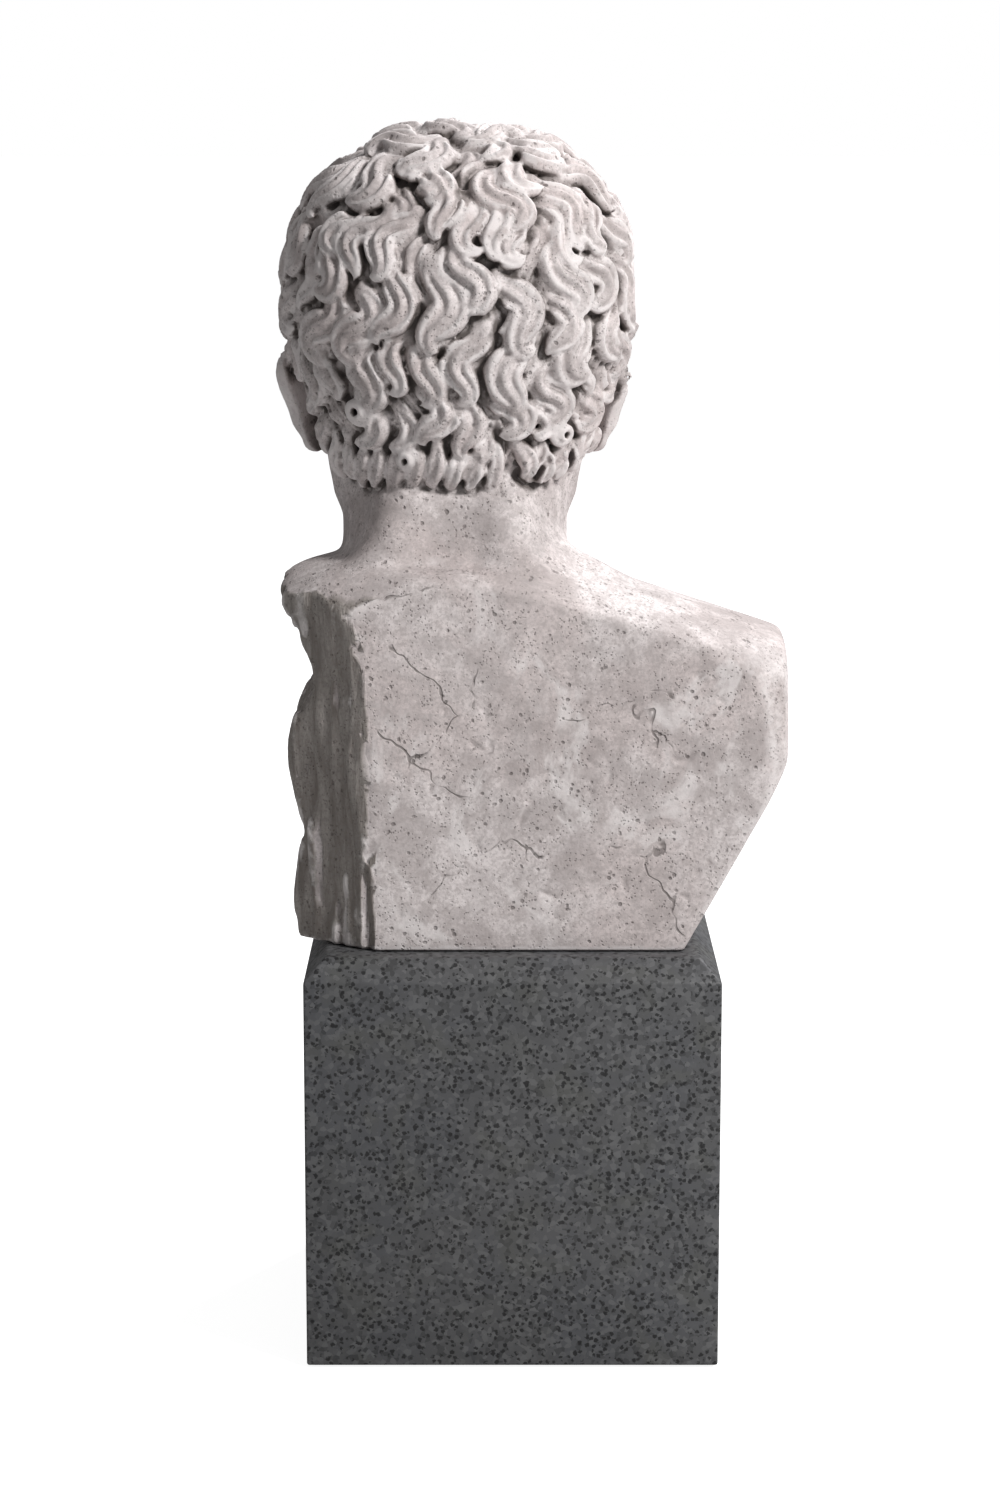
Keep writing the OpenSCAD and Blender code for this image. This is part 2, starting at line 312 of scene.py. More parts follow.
def nostrils(grid):
    for s in (-1, 1):
        hole = (neckX + s * 7.0, -118.5, 477.5)
        low, high = np.subtract(hole, 14), np.add(hole, 14)
        mouth = (hole[0] - s * 0.8, hole[1] - 4, hole[2] + 1)
        inside = (hole[0] + s * 1.5, hole[1] + 3.5, hole[2] + 1.5)
        carve(grid, lambda x, y, z: rod(x, y, z, mouth, inside, 2.3, 2.9), low, high, 1.2)


ears = {"side": 80.5, "y": -3.0, "z": 510.0, "lean": 34.0, "tilt": 10.0, "thick": 2.5}


def ear(grid, s):
    lean, tilt = math.radians(ears["lean"]), math.radians(ears["tilt"])

    def local(x, y, z):
        # across the ear to the back, up it, and straight out of it
        px, py, pz = (x - neckX) * s - ears["side"], y - ears["y"], z - ears["z"]
        back = px * math.sin(lean) + py * math.cos(lean)
        return (back * math.cos(tilt) - pz * math.sin(tilt), back * math.sin(tilt) + pz * math.cos(tilt),
                px * math.cos(lean) - py * math.sin(lean) + 0 * pz)

    def shell(x, y, z):
        b, u, o = local(x, y, z)
        half = smoothCurve([-33, -29, -20, -6, 8, 20, 28, 32], [1, 6.5, 10, 12.5, 16.5, 17, 12, 3], u)
        middle = smoothCurve([-33, -20, 0, 15, 32], [-5, -3.5, -1.5, 0, -3], u)
        inset = half - np.abs(b - middle)
        onRim = smoothStep(-24, -12, u) * np.maximum(smoothStep(-2, 5, b), smoothStep(8, 16, u))
        relief = 4.6 * np.exp(-((inset - 2.4) / 2.4)**2) * onRim
        relief -= 1.8 * np.exp(-((inset - 6.2) / 2.0)**2) * onRim
        innerFold = smoothStep(-16, -8, u) * (1 - smoothStep(14, 22, u)) * smoothStep(-6, 0, b)
        relief += 3.0 * np.exp(-((inset - 10.2) / 2.6)**2) * innerFold
        relief += 2.0 * np.exp(-((u - 15 - 0.5 * b) / 3.2)**2) * np.exp(-((b + 1) / 6)**2)
        relief += 4.5 * np.exp(-((b + 12) / 3.2)**2 - ((u + 5) / 4.5)**2)
        relief += 3.0 * np.exp(-((b + 1) / 3.6)**2 - ((u + 14.5) / 3.0)**2)
        relief += 2.6 * np.exp(-((b + 4) / 5.5)**2 - ((u + 25) / 4.5)**2)
        d = common((o - ears["thick"] - relief) * 0.9, -o - ears["thick"], 2.5)
        return common(common(d, -inset * 0.85, 3.2), np.abs(u) - 31.5, 3)

    def bowl(x, y, z):
        b, u, o = local(x, y, z)
        return (np.sqrt(((b + 3.0) / 6.2)**2 + ((u + 3.5) / 9.0)**2 + ((o - 4.0) / 7.0)**2) - 1) * 6.2

    centre = (neckX + s * ears["side"], ears["y"], ears["z"])
    low, high = np.subtract(centre, 40), np.add(centre, 40)
    root = (neckX + s * 66, ears["y"] - 6, ears["z"])
    rootLow, rootHigh = np.subtract(root, (0, 3, 12)), np.add(root, (0, 5, 16))
    add(grid, lambda x, y, z: rod(x, y, z, rootLow, rootHigh, 8, 9), low, high, 7)
    add(grid, shell, low, high, 2.5)
    carve(grid, bowl, low, high, 1.6)


# neck and torso
backY = 87.0
bottomZ = 224.0
socket = {"radius": 13.25, "top": 319.2}

torsoTable = {
    # height: right end, left end, chest, back, squareness
    224: (-167, 121, -74, 108, 3.4),
    260: (-167, 119, -80, 108, 3.2),
    290: (-167, 118, -86, 108, 3.0),
    316: (-167, 120, -89, 108, 2.8),
    338: (-167, 119, -86, 108, 2.7),
    359: (-165, 117, -76, 107, 2.6),
    374: (-160, 119, -68, 105, 2.5),
    386: (-145, 121, -62, 102, 2.4),
    396: (-118, 122, -58, 99, 2.3),
    406: (-88, 122, -55, 95, 2.2),
    416: (-60, 112, -50, 90, 2.1),
    428: (-42, 100, -48, 84, 2.0),
    444: (-34, 94, -46, 78, 2.0),
}


def chestRelief(u, z):
    # how far the chest stands forward; u is measured to the bust's own left
    d = np.zeros(np.broadcast(u, z).shape, dtype=np.float32)
    for s in (-1, 1):
        a = u * s
        # chest muscle with its lower edge
        edge = 290 + np.where(a > 38, 0.0085, 0.004) * (a - 38)**2
        mass = smoothStep(edge - 5, edge + 12, z) * (1 - smoothStep(352, 384, z))
        mass = mass * smoothStep(2, 22, a) * (1 - smoothStep(84, 118, a))
        d += 8.5 * mass
        # collar bone and the hollow over it
        bone = 392 + 0.10 * np.clip(a - 12, 0, 200) - 5 * np.exp(-((a - 52) / 26)**2)
        onBone = smoothStep(8, 20, a) * (1 - smoothStep(104, 128, a))
        d += 6.0 * np.exp(-((z - bone) / 6.0)**2) * onBone
        d -= 5.0 * np.exp(-((z - bone - 15) / 8)**2 - ((a - 58) / 26)**2)
        d -= 3.0 * np.exp(-((z - bone + 14) / 8)**2 - ((a - 66) / 28)**2)
    # groove between chest and shoulder
    slot = -92 - (376 - z) * 0.22
    d -= 4.5 * np.exp(-((u - slot) / 7)**2) * smoothStep(290, 320, z) * (1 - smoothStep(365, 392, z))
    # breast bone and the notch at the throat
    d -= 2.6 * np.exp(-(u / 6.5)**2) * smoothStep(285, 320, z) * (1 - smoothStep(370, 392, z))
    d -= bump(u, z, 0, 393, 11, 9, 8.0)
    # arch under the ribs, and the line down from it
    a = np.abs(u)
    underRibs = smoothStep(3, 20, a) * (1 - smoothStep(44, 84, a))
    d -= 1.7 * np.exp(-((z - 282 + 0.62 * a) / 12)**2) * underRibs
    d -= 1.5 * np.exp(-(u / 5)**2) * (1 - smoothStep(272, 286, z))
    return d


def leftSide(z):
    # the rough left side, in and out as the chisel left it
    heights = [224, 240, 262, 283, 305, 326, 340, 352, 362, 372, 386, 398, 408, 420, 440]
    reach = [114.5, 116, 113.5, 111, 115, 120.5, 117, 109, 104, 105, 111.5, 116.5, 121, 123.5, 118]
    return smoothCurve(heights, reach, z)


def torso(x, y, z):
    u = x - neckX
    heights = sorted(torsoTable)
    table = np.array([torsoTable[h] for h in heights])
    right, left, chest, back, square = [smoothCurve(heights, table[:, i], z) for i in range(5)]
    left = left + 14
    relief = chestRelief(u, z)
    yy = y + relief * smoothStep(-10, -45, y)
    widest = back - 0.45 * (back - chest)
    midX, half = (left + right) / 2, (left - right) / 2
    depth = np.where(yy < widest, widest - chest, back - widest)
    m = (np.abs(x - midX) / half)**square + (np.abs(yy - widest) / depth)**square
    m = m**(1 / square)
    return (m - 1) * np.minimum(half, depth) * 0.85


def sculptTorso(grid):
    low, high = (-170, -110, 210), (140, 110, 470)
    add(grid, lambda x, y, z: common(torso(x, y, z), z - 426, 20), low, high, 9)
    # neck, leaning forward
    def neck(x, y, z):
        t = (z - 400) / 100
        return np.sqrt(((x - neckX) / 60.5)**2 + ((y - 10 + 14 * t) / 57.0)**2) * 56 - 56 + 0 * z
    add(grid, lambda x, y, z: common(common(neck(x, y, z), z - 506, 12), 380 - z, 6),
        (neckX - 75, -75, 370), (neckX + 75, 90, 515), 14)
    for s in (-1, 1):
        # muscle from behind the ear to the breast bone
        path = [(60, 8, 492), (54, -8, 462), (40, -32, 430), (20, -52, 402)]
        path = [(neckX + s * px, py, pz) for px, py, pz in path]
        cut = boxOf(path, 30)
        add(grid, lambda x, y, z: tube(x, y, z, path, [10, 11.5, 10, 7]), cut[0], cut[1], 15)
        # muscle up the back of the neck
        path = [(17, 40, 505), (20, 42, 470), (30, 47, 430), (42, 52, 404)]
        path = [(neckX + s * px, py, pz) for px, py, pz in path]
        cut = boxOf(path, 34)
        add(grid, lambda x, y, z: tube(x, y, z, path, [14, 16, 20, 24]), cut[0], cut[1], 14)
    # throat
    add(grid, lambda x, y, z: ellipsoid(x, y, z, (neckX, -45, 438), (11, 12, 14)),
        (neckX - 30, -75, 410), (neckX + 30, -20, 470), 9)
    # right shoulder
    path = [(neckX - 48, 30, 418), (neckX - 95, 26, 372), (neckX - 150, 20, 346)]
    cut = boxOf(path, 60)
    add(grid, lambda x, y, z: tube(x, y, z, path, [20, 34, 44]), cut[0], cut[1], 16)
    # left shoulder stump
    path = [(neckX + 42, 30, 412), (neckX + 76, 24, 388)]
    cut = boxOf(path, 50)
    add(grid, lambda x, y, z: tube(x, y, z, path, [20, 26]), cut[0], cut[1], 14)


cuts = {"endX": -146.0, "slantX": -91.0, "slantLean": 29.0, "obliqueTurn": 40.0, "roughDepth": 3.0}


def looseNoise(rng, shape, spacing, voxel):
    # even noise over a block of the grid, from -1 to 1, smooth over the given spacing in millimetres
    step = np.maximum(np.asarray(spacing, dtype=float) / voxel, 1.0)
    coarse = rng.uniform(-1, 1, [int(n / k) + 4 for n, k in zip(shape, step)]).astype(np.float32)
    for axis in range(3):
        at = np.arange(shape[axis]) / step[axis] + 0.5
        i, t = at.astype(int), at - at.astype(int)
        t = t * t * (3 - 2 * t)
        t = t.reshape([-1 if k == axis else 1 for k in range(3)]).astype(np.float32)
        coarse = np.take(coarse, i, axis) * (1 - t) + np.take(coarse, i + 1, axis) * t
    return coarse


chips = {
    "places": ((42, 319), (31, 311), (12, 331), (-24, 320), (-40, 333), (-48, 321), (-24, 252),
               (22, 286), (42, 274), (-6, 300), (-70, 296), (-96, 330), (18, 356), (-58, 262)),
    "loose": 22, "edgeChips": 16,
}


def scars(grid, rng):
    # short torn cracks in the sawn back, and chips along its edges
    spots = []
    for x, z in chips["places"]:
        spots.append((x + rng.uniform(-3, 3), z + rng.uniform(-3, 3), rng.uniform(7, 15)))
    for _ in range(chips["loose"]):
        spots.append((rng.uniform(-125, 66), rng.uniform(236, 385), rng.uniform(1.5, 5)))
    for x0, z0, length in spots:
        way = rng.uniform(-0.6, 2.6)
        path = [(x0, backY + 0.2, z0)]
        for _ in range(3):
            way += rng.uniform(-0.9, 0.9)
            step = length / 3
            lastX, _, lastZ = path[-1]
            path.append((lastX + step * math.cos(way), backY + 0.2, lastZ - step * math.sin(way)))
        wide = rng.uniform(1.0, 1.7)
        low, high = boxOf(path, 5)
        widths = [wide * 0.7, wide, wide * 1.1, wide * 0.6]
        carve(grid, lambda x, y, z: tube(x, y, z, path, widths), low, high, 0.5)
    for _ in range(chips["edgeChips"]):
        z0 = rng.uniform(228, 405)
        x0 = float(smoothCurve([224, 282, 330, 383, 415], [74, 75, 79, 82, 88], z0))
        spot = (x0 + rng.uniform(-1, 3), backY + 1.5, z0)
        radii = (rng.uniform(2, 4), rng.uniform(2, 3.5), rng.uniform(2.5, 7))
        low, high = np.subtract(spot, 10), np.add(spot, 10)
        carve(grid, lambda x, y, z: ellipsoid(x, y, z, spot, radii), low, high, 1.0)


def sawCuts(grid, seed):
    cut, x, y, z = window(grid, (-200, -150, 200), (160, 120, 440))
    f = grid["field"][cut]
    rng = np.random.default_rng(seed + 100)
    # what the point chisel left: streaks that run down, and lumps between them
    streaks = looseNoise(rng, f.shape, (5.0, 5.0, 42.0), grid["voxel"])
    lumps = looseNoise(rng, f.shape, (15.0, 15.0, 26.0), grid["voxel"])
    fine = looseNoise(rng, f.shape, (3.0, 3.0, 9.0), grid["voxel"])
    chiselled = cuts["roughDepth"] * (0.75 * streaks + 0.9 * lumps + 0.35 * fine)
    wear = looseNoise(rng, f.shape, (22.0, 22.0, 22.0), grid["voxel"])
    # flat sawn back
    f2 = common(f, y - backY + 0 * x, 3.4 + 2.4 * wear)
    # right end and the slanting cut under it
    f2 = common(f2, cuts["endX"] - x + 0 * y + 0 * z, 6 + 2 * wear)
    lean = math.radians(cuts["slantLean"])
    slant = (cuts["slantX"] - x) * math.cos(lean) - (z - bottomZ) * math.sin(lean)
    f2 = common(f2, slant + 0 * y, 3.5 + 2.5 * wear)
    # rough left side, and the rough face that slopes back from it to the sawn back
    side = leftSide(z)
    f2 = common(f2, (x - side) * 0.9 + 0 * y + chiselled, 4)
    turn = math.radians(cuts["obliqueTurn"])
    edgeX = smoothCurve([224, 282, 330, 383, 415, 440], [74, 75, 79, 82, 88, 92], z)
    oblique = (x - edgeX) * math.sin(turn) + (y - backY) * math.cos(turn)
    f2 = common(f2, oblique + 0.8 * chiselled, 2.5)
    fade = smoothStep(424, 438, z)
    grid["field"][cut] = f2 * (1 - fade) + f * fade
    # underside
    under = (bottomZ - grid["axes"][2])[None, None, :] + 0 * grid["field"]
    grid["field"][:] = common(grid["field"], under, 1.2)
    scars(grid, rng)
    # drilled socket for the stud's sleeve and its resin
    reach = socket["radius"] + 6
    carve(grid, lambda x, y, z: np.maximum(np.sqrt(x * x + y * y) - socket["radius"], z - socket["top"]),
          (-reach, -reach, bottomZ - 6), (reach, reach, socket["top"] + 6), 0.0)


# hair, laid over the scalp from the crown outwards
crown = np.array((neckX - 5, 22.0, 650.0))
hair = {
    "across": 14.5, "along": 28.0, "wave": 47.0, "width": (8.5, 13.0), "length": (46.0, 62.0),
    "tall": 0.42, "lift": (1.8, 3.4), "strand": 7.4, "groove": 3.3, "gap": 1.5,
    "edgeStep": 10.0, "capRise": 3.6, "capGroove": 3.2,
}
scalpParts = (((neckX - 2.5, -13.0, 563.0), (92.5, 94.0, 88.5)),
              ((neckX - 1.5, 6.0, 505.0), (74.5, 60.0, 74.0)))


def roundBox(x, y, z, centre, radii, power):
    m = (np.abs((x - centre[0]) / radii[0])**power + np.abs((y - centre[1]) / radii[1])**power
         + np.abs((z - centre[2]) / radii[2])**power)**(1 / power)
    return (m - 1) * min(radii)


def scalpShape(x, y, z, inset=0.0):
    a = roundBox(x, y, z, scalpParts[0][0], scalpParts[0][1], 2.25)
    b = ellipsoid(x, y, z, *scalpParts[1])
    return union(a, b, 26) + inset


def scalpDistance(p):
    return scalpShape(p[..., 0], p[..., 1], p[..., 2])


def scalpNormal(p):
    e = 0.5
    g = np.stack([scalpDistance(p + axis * e) - scalpDistance(p - axis * e) for axis in np.eye(3)], -1)
    return g / np.linalg.norm(g, axis=-1, keepdims=True)


def ontoScalp(p, lift=0.0):
    for _ in range(3):
        n = scalpNormal(p)
        p = p - n * (scalpDistance(p) - lift)[..., None]
    return p, scalpNormal(p)


def outward(p, n):
    d = p - crown
    d = d - n * np.sum(d * n, -1, keepdims=True)
    d = d / np.maximum(np.linalg.norm(d, axis=-1, keepdims=True), 1e-6)
    return d, np.cross(n, d)


def lockPath(start, length, turn, wave, phase, hook, lift0, lift1, count=32):
    # one lock's middle line: an S over the scalp that ends in a hook
    p = start.copy()
    points, normals = [], []
    step = length / (count - 1)
    for i in range(count):
        t = i / (count - 1)
        n = scalpNormal(p)
        points.append(p)
        normals.append(n)
        d, b = outward(p, n)
        psi = turn + wave * math.sin(2 * math.pi * (t * length / hair["wave"] + phase)) + hook * t**4
        p, _ = ontoScalp(p + (math.cos(psi) * d + math.sin(psi) * b) * step)
    points, normals = np.array(points), np.array(normals)
    t = np.linspace(0, 1, count)[:, None]
    rise = lift0 + (lift1 - lift0) * np.sin(t * math.pi * 0.62)**1.2
    return points + normals * rise, normals


def addLock(grid, points, normals, width, height, strands, groove, gap):
    count = len(points)
    t = np.linspace(0, 1, count)
    half = width * (0.45 + 0.55 * np.sin(np.clip(t * 1.5, 0, 1) * math.pi / 2))
    half = half * np.clip(1 - t**3.2, 0, 1)**0.75 + 0.9
    tall = height * (0.7 + 0.3 * np.sin(np.clip(t * 1.6, 0, 1) * math.pi / 2))
    tall = tall * np.clip(1 - t**4, 0, 1)**0.6 + 1.0
    tangent = np.gradient(points, axis=0)
    tangent /= np.linalg.norm(tangent, axis=1, keepdims=True)
    side = np.cross(normals, tangent)
    side /= np.linalg.norm(side, axis=1, keepdims=True)
    up = np.cross(tangent, side)
    low, high = boxOf(points, width + gap + 2)
    cut, x, y, z = window(grid, low, high)
    f = grid["field"][cut]
    if f.size == 0:
        return
    near = (f < height + 8) & (f > -height - 6)
    ix, iy, iz = np.nonzero(near)
    q = np.stack([x[ix, 0, 0], y[0, iy, 0], z[0, 0, iz]], -1).astype(np.float32)
    best = np.full(len(q), 1e9, dtype=np.float32)
    index = np.zeros(len(q), dtype=np.int32)
    for i in range(count):
        e = q - points[i].astype(np.float32)
        dist = np.einsum("ij,ij->i", e, e)
        closer = dist < best
        best[closer] = dist[closer]
        index[closer] = i
    keep = best < (width + gap + 3)**2
    q, index, ix, iy, iz = q[keep], index[keep], ix[keep], iy[keep], iz[keep]
    step = np.linalg.norm(np.diff(points, axis=0), axis=1).mean()
    e = q - points[index]
    along = np.einsum("ij,ij->i", e, tangent[index]) / step
    s = np.clip(index + along, 0, count - 1)
    i0 = np.clip(s.astype(int), 0, count - 2)
    w = (s - i0)[:, None]
    mix = lambda a: a[i0] * (1 - w) + a[i0 + 1] * w
    centre, sideAt, upAt = mix(points), mix(side), mix(up)
    halfAt = mix(half[:, None])[:, 0]
    tallAt = mix(tall[:, None])[:, 0]
    e = q - centre
    b = np.einsum("ij,ij->i", e, sideAt)
    n = np.einsum("ij,ij->i", e, upAt)
    past = np.sqrt(np.maximum(np.einsum("ij,ij->i", e, e) - b * b - n * n, 0))
    past = np.maximum(past - 0.8 * step, 0)
    tAt = s / (count - 1)
    across = np.clip(b / halfAt, -1.2, 1.2)
    turn = 0.5 * math.pi * strands * across + (0 if strands % 2 else 0.5 * math.pi)
    crest = np.abs(np.cos(turn))
    fine = np.abs(np.cos(2 * turn + 0.8))
    depth = groove * (1 - crest**1.15) + 0.75 * (1 - fine)
    depth = depth * np.clip(halfAt / width * 1.3 - 0.2, 0, 1) * smoothStep(0.0, 0.12, tAt)
    n = np.where(n > -2, n + depth * smoothStep(-2, 1, n), n)
    d = np.sqrt(np.abs(b / halfAt)**2.5 + (n / tallAt)**2 + (past / halfAt)**2)
    d = (d - 1) * np.minimum(halfAt, tallAt)
    old = f[ix, iy, iz]
    # what lies under the lock sinks beside it, so a dark valley follows its edge
    sunk = old + gap * np.exp(-(np.maximum(d, 0) / 3.2)**2)
    new = union(sunk, d.astype(np.float32), 1.2)
    f[ix, iy, iz] = new
    grid["field"][cut] = f


hairEdge = {0: 471, 30: 471, 48: 473, 60: 478, 67: 492, 74: 528, 82: 544, 90: 545, 98: 528,
            106: 508, 113: 514, 122: 550, 136: 578, 150: 588, 165: 588, 180: 586}


def edgeHeight(x, y):
    # how low the hair comes, going round the head from the middle of the back
    around = np.degrees(np.arctan2(np.abs(x - neckX), y + 13))
    return smoothCurve(sorted(hairEdge), [hairEdge[k] for k in sorted(hairEdge)], around)


def lockCentres(rng, across, along):
    # scattered evenly, closer together side by side than one below the other
    chosen = []
    tries = rng.normal(size=(9000, 3))
    tries /= np.linalg.norm(tries, axis=1, keepdims=True)
    spots, normals = ontoScalp(np.array((neckX, -13.0, 560.0)) + tries * 90)
    for p, n in zip(spots, normals):
        if p[2] < edgeHeight(p[0], p[1]) + 4:
            continue
        d, b = outward(p, n)
        if chosen:
            e = np.array(chosen) - p
            u, v = e @ d, e @ b
            w = e @ n
            if np.min((u / along)**2 + ((v * v + w * w) / across**2)) < 1:
                continue
        chosen.append(p)
    return np.array(chosen)


spirals = ((73.0, 48.0, 512.0, 8.5, 1), (-20.0, 44.0, 498.0, 7.0, -1), (104.0, -52.0, 548.0, 7.5, -1),
           (-44.0, -50.0, 546.0, 7.5, 1), (52.0, 52.0, 486.0, 6.0, 1))


def towardsCrown(p, back):
    begin = p.copy()
    while back > 0 and np.linalg.norm(begin - crown) > 7:
        d, _ = outward(begin, scalpNormal(begin))
        begin, _ = ontoScalp(begin - d * min(3.0, back))
        back -= 3.0
    return begin


def edgeLocks(grid, rng):
    # a row of short comma curls all along the edge of the hair
    angle = -180.0
    while angle < 180.0:
        a = math.radians(angle)
        z = float(edgeHeight(neckX + 80 * math.sin(a), -13 + 80 * math.cos(a)))
        radius = 88.0 if z > 520 else 66.0
        behind = 10 if z < 500 else 0
        p = np.array((neckX + radius * math.sin(a), -13 + radius * math.cos(a) + behind, z + 9.0))
        p, _ = ontoScalp(p)
        begin = towardsCrown(p, 13.0)
        side = 1 if math.sin(a + 0.5) > 0 else -1
        length = rng.uniform(25, 32)
        hook = side * rng.uniform(1.5, 2.4)
        path, normals = lockPath(begin, length, -0.35 * side, 0.35, 0.2, hook, -1.0, 2.2)
        path = path - normals * (3.2 * np.linspace(0, 1, len(path))[:, None]**2)
        addLock(grid, path, normals, rng.uniform(5.6, 7.2), 5.0, 2, 2.0, 2.0)
        angle += math.degrees(hair["edgeStep"] * rng.uniform(0.85, 1.15) / radius)


def addSpiral(grid, spot, radius, way):
    # a curl wound up like a snail, with the hole that a drill left in its middle
    p, n = ontoScalp(spot)
    d, b = outward(p, n)
    turns = np.linspace(0, 1, 40)
    angle = way * (2 * math.pi * 1.45 * turns) - math.pi / 2
    reach = radius * (1 - 0.74 * turns)
    path = p + reach[:, None] * (np.cos(angle)[:, None] * b + np.sin(angle)[:, None] * d)
    path = path + n * (2.0 + 4.0 * turns[:, None])
    low, high = boxOf([p], radius + 8)
    for i in range(len(path) - 1):
        r = radius * 0.36 * (1 - 0.35 * turns[i])
        piece = boxOf(path[i:i + 2], r + 3)
        add(grid, lambda x, y, z: rod(x, y, z, path[i], path[i + 1], r, r), piece[0], piece[1], 0.6)
    deep, proud = p - n * 4, p + n * 12
    carve(grid, lambda x, y, z: rod(x, y, z, deep, proud, radius * 0.17, radius * 0.22), low, high, 0.8)


def growHair(grid, seed):
    rng = np.random.default_rng(seed)
    low, high = (neckX - 96, -124, 462), (neckX + 96, 92, 662)

    def cap(x, y, z):
        above = z - edgeHeight(x, y)
        d = scalpShape(x, y, z) - hair["capRise"] + 8 * (1 - smoothStep(-6, 24, above))
        # the whole cap is combed in waves that leave the crown, in three tiers
        reach = np.sqrt((x - crown[0])**2 + (y - crown[1])**2 + (z - crown[2])**2)
        around = np.arctan2(x - crown[0], y - crown[1])
        sway = np.cos(reach * 2 * math.pi / hair["wave"] + 1.0 * np.sin(3 * around + 1))
        sway = 7.4 * math.pi / hair["strand"] * sway
        valley = None
        for count, start, end in ((28, -20, 46), (48, 46, 88), (66, 88, 400)):
            here = smoothStep(start - 5, start + 5, reach) * (1 - smoothStep(end - 5, end + 5, reach))
            crest = np.abs(np.cos(around * count / 2 - sway + count))
            band = here * (1 - crest**1.1)
            valley = band if valley is None else valley + band
        fine = 1 - np.abs(np.cos(around * 50 - 2 * sway))
        step = np.exp(-((reach - 50) / 6)**2) + np.exp(-((reach - 92) / 6)**2)
        d = d + (hair["capGroove"] * valley + 0.5 * fine + 1.6 * step) * smoothStep(4, 22, reach)
        return common(d, -above, 8)

    add(grid, cap, low, high, 3)
    centres = lockCentres(rng, hair["across"], hair["along"])
    far = np.linalg.norm(centres - crown, axis=1) + rng.uniform(-9, 9, len(centres))
    edgeLocks(grid, rng)
    for p in centres[np.argsort(-far)]:
        above = float(p[2] - edgeHeight(p[0], p[1]))
        low = 1 - float(smoothStep(6, 48, above))
        fromCrown = float(np.linalg.norm(p - crown))
        length = rng.uniform(*hair["length"]) * (1 - 0.40 * low)
        length *= float(0.62 + 0.38 * smoothStep(10, 60, fromCrown))
        begin = towardsCrown(p, length * (0.5 + 0.10 * low))
        around = math.atan2(begin[0] - crown[0], begin[1] - crown[1])
        phase = float(np.linalg.norm(begin - crown)) / hair["wave"]
        phase = phase + 0.16 * math.sin(3 * around + 1) + rng.uniform(-0.06, 0.06)
        # the tip curls on the way its last wave was turning
        ending = math.sin(2 * math.pi * (length / hair["wave"] + phase))
        hookSide = 1 if ending > 0 else -1
        hook = hookSide * rng.uniform(0.3, 1.6) * (1 + 0.5 * low)
        turn, wave = rng.uniform(-0.10, 0.10), rng.uniform(0.85, 1.10)
        lift = rng.uniform(*hair["lift"]) - 0.8 * low
        path, normals = lockPath(begin, length, turn, wave, phase, hook, -1.5, lift)
        # near its edge the hair lies close to the skin
        drop = 4.5 * (1 - smoothStep(-8, 26, path[:, 2] - edgeHeight(path[:, 0], path[:, 1])))
        path = path - normals * drop[:, None]
        width = rng.uniform(*hair["width"]) * (1 - 0.38 * low)
        strands = max(1, int(round(2 * width / hair["strand"])))
        height = width * hair["tall"] + 1.2 * low
        addLock(grid, path, normals, width, height, strands, hair["groove"], hair["gap"])
    for spot in spirals:
        addSpiral(grid, np.array(spot[:3]), *spot[3:])
    print("locks", len(centres))


def soften(field):
    # takes the steps of the grid out of fine edges
    for axis in range(3):
        near = [slice(None)] * 3
        less, more = list(near), list(near)
        near[axis], less[axis], more[axis] = slice(1, -1), slice(0, -2), slice(2, None)
        field[tuple(near)] = 0.7 * field[tuple(near)] + 0.15 * (field[tuple(less)] + field[tuple(more)])


def carveBust(voxel, seed):
    grid = makeGrid((-152, -140, 218), (134, 97, 666), voxel)
    sculptHead(grid)
    print("head shaped")
    sculptTorso(grid)
    sawCuts(grid, seed)
    print("torso shaped and sawn")
    growHair(grid, seed)
    soften(grid["field"])
    return grid


# the stone becomes one mesh
bust = {"voxel": 1.1, "quickVoxel": 2.4, "triangles": 188000, "seed": 7}


def fieldAt(grid, p):
    # the shape's depth at loose points, read between the grid's values
    f, size = grid["field"], grid["voxel"]
    q = [(p[:, i] - grid["axes"][i][0]) / size for i in range(3)]
    i0 = [np.clip(a.astype(int), 0, f.shape[i] - 2) for i, a in enumerate(q)]
    t = [np.clip(a - i0[i], 0, 1) for i, a in enumerate(q)]
    total = 0
    for dx in (0, 1):
        for dy in (0, 1):
            for dz in (0, 1):
                weight = t[0] if dx else 1 - t[0]
                weight = weight * (t[1] if dy else 1 - t[1]) * (t[2] if dz else 1 - t[2])
                total = total + weight * f[i0[0] + dx, i0[1] + dy, i0[2] + dz]
    return total


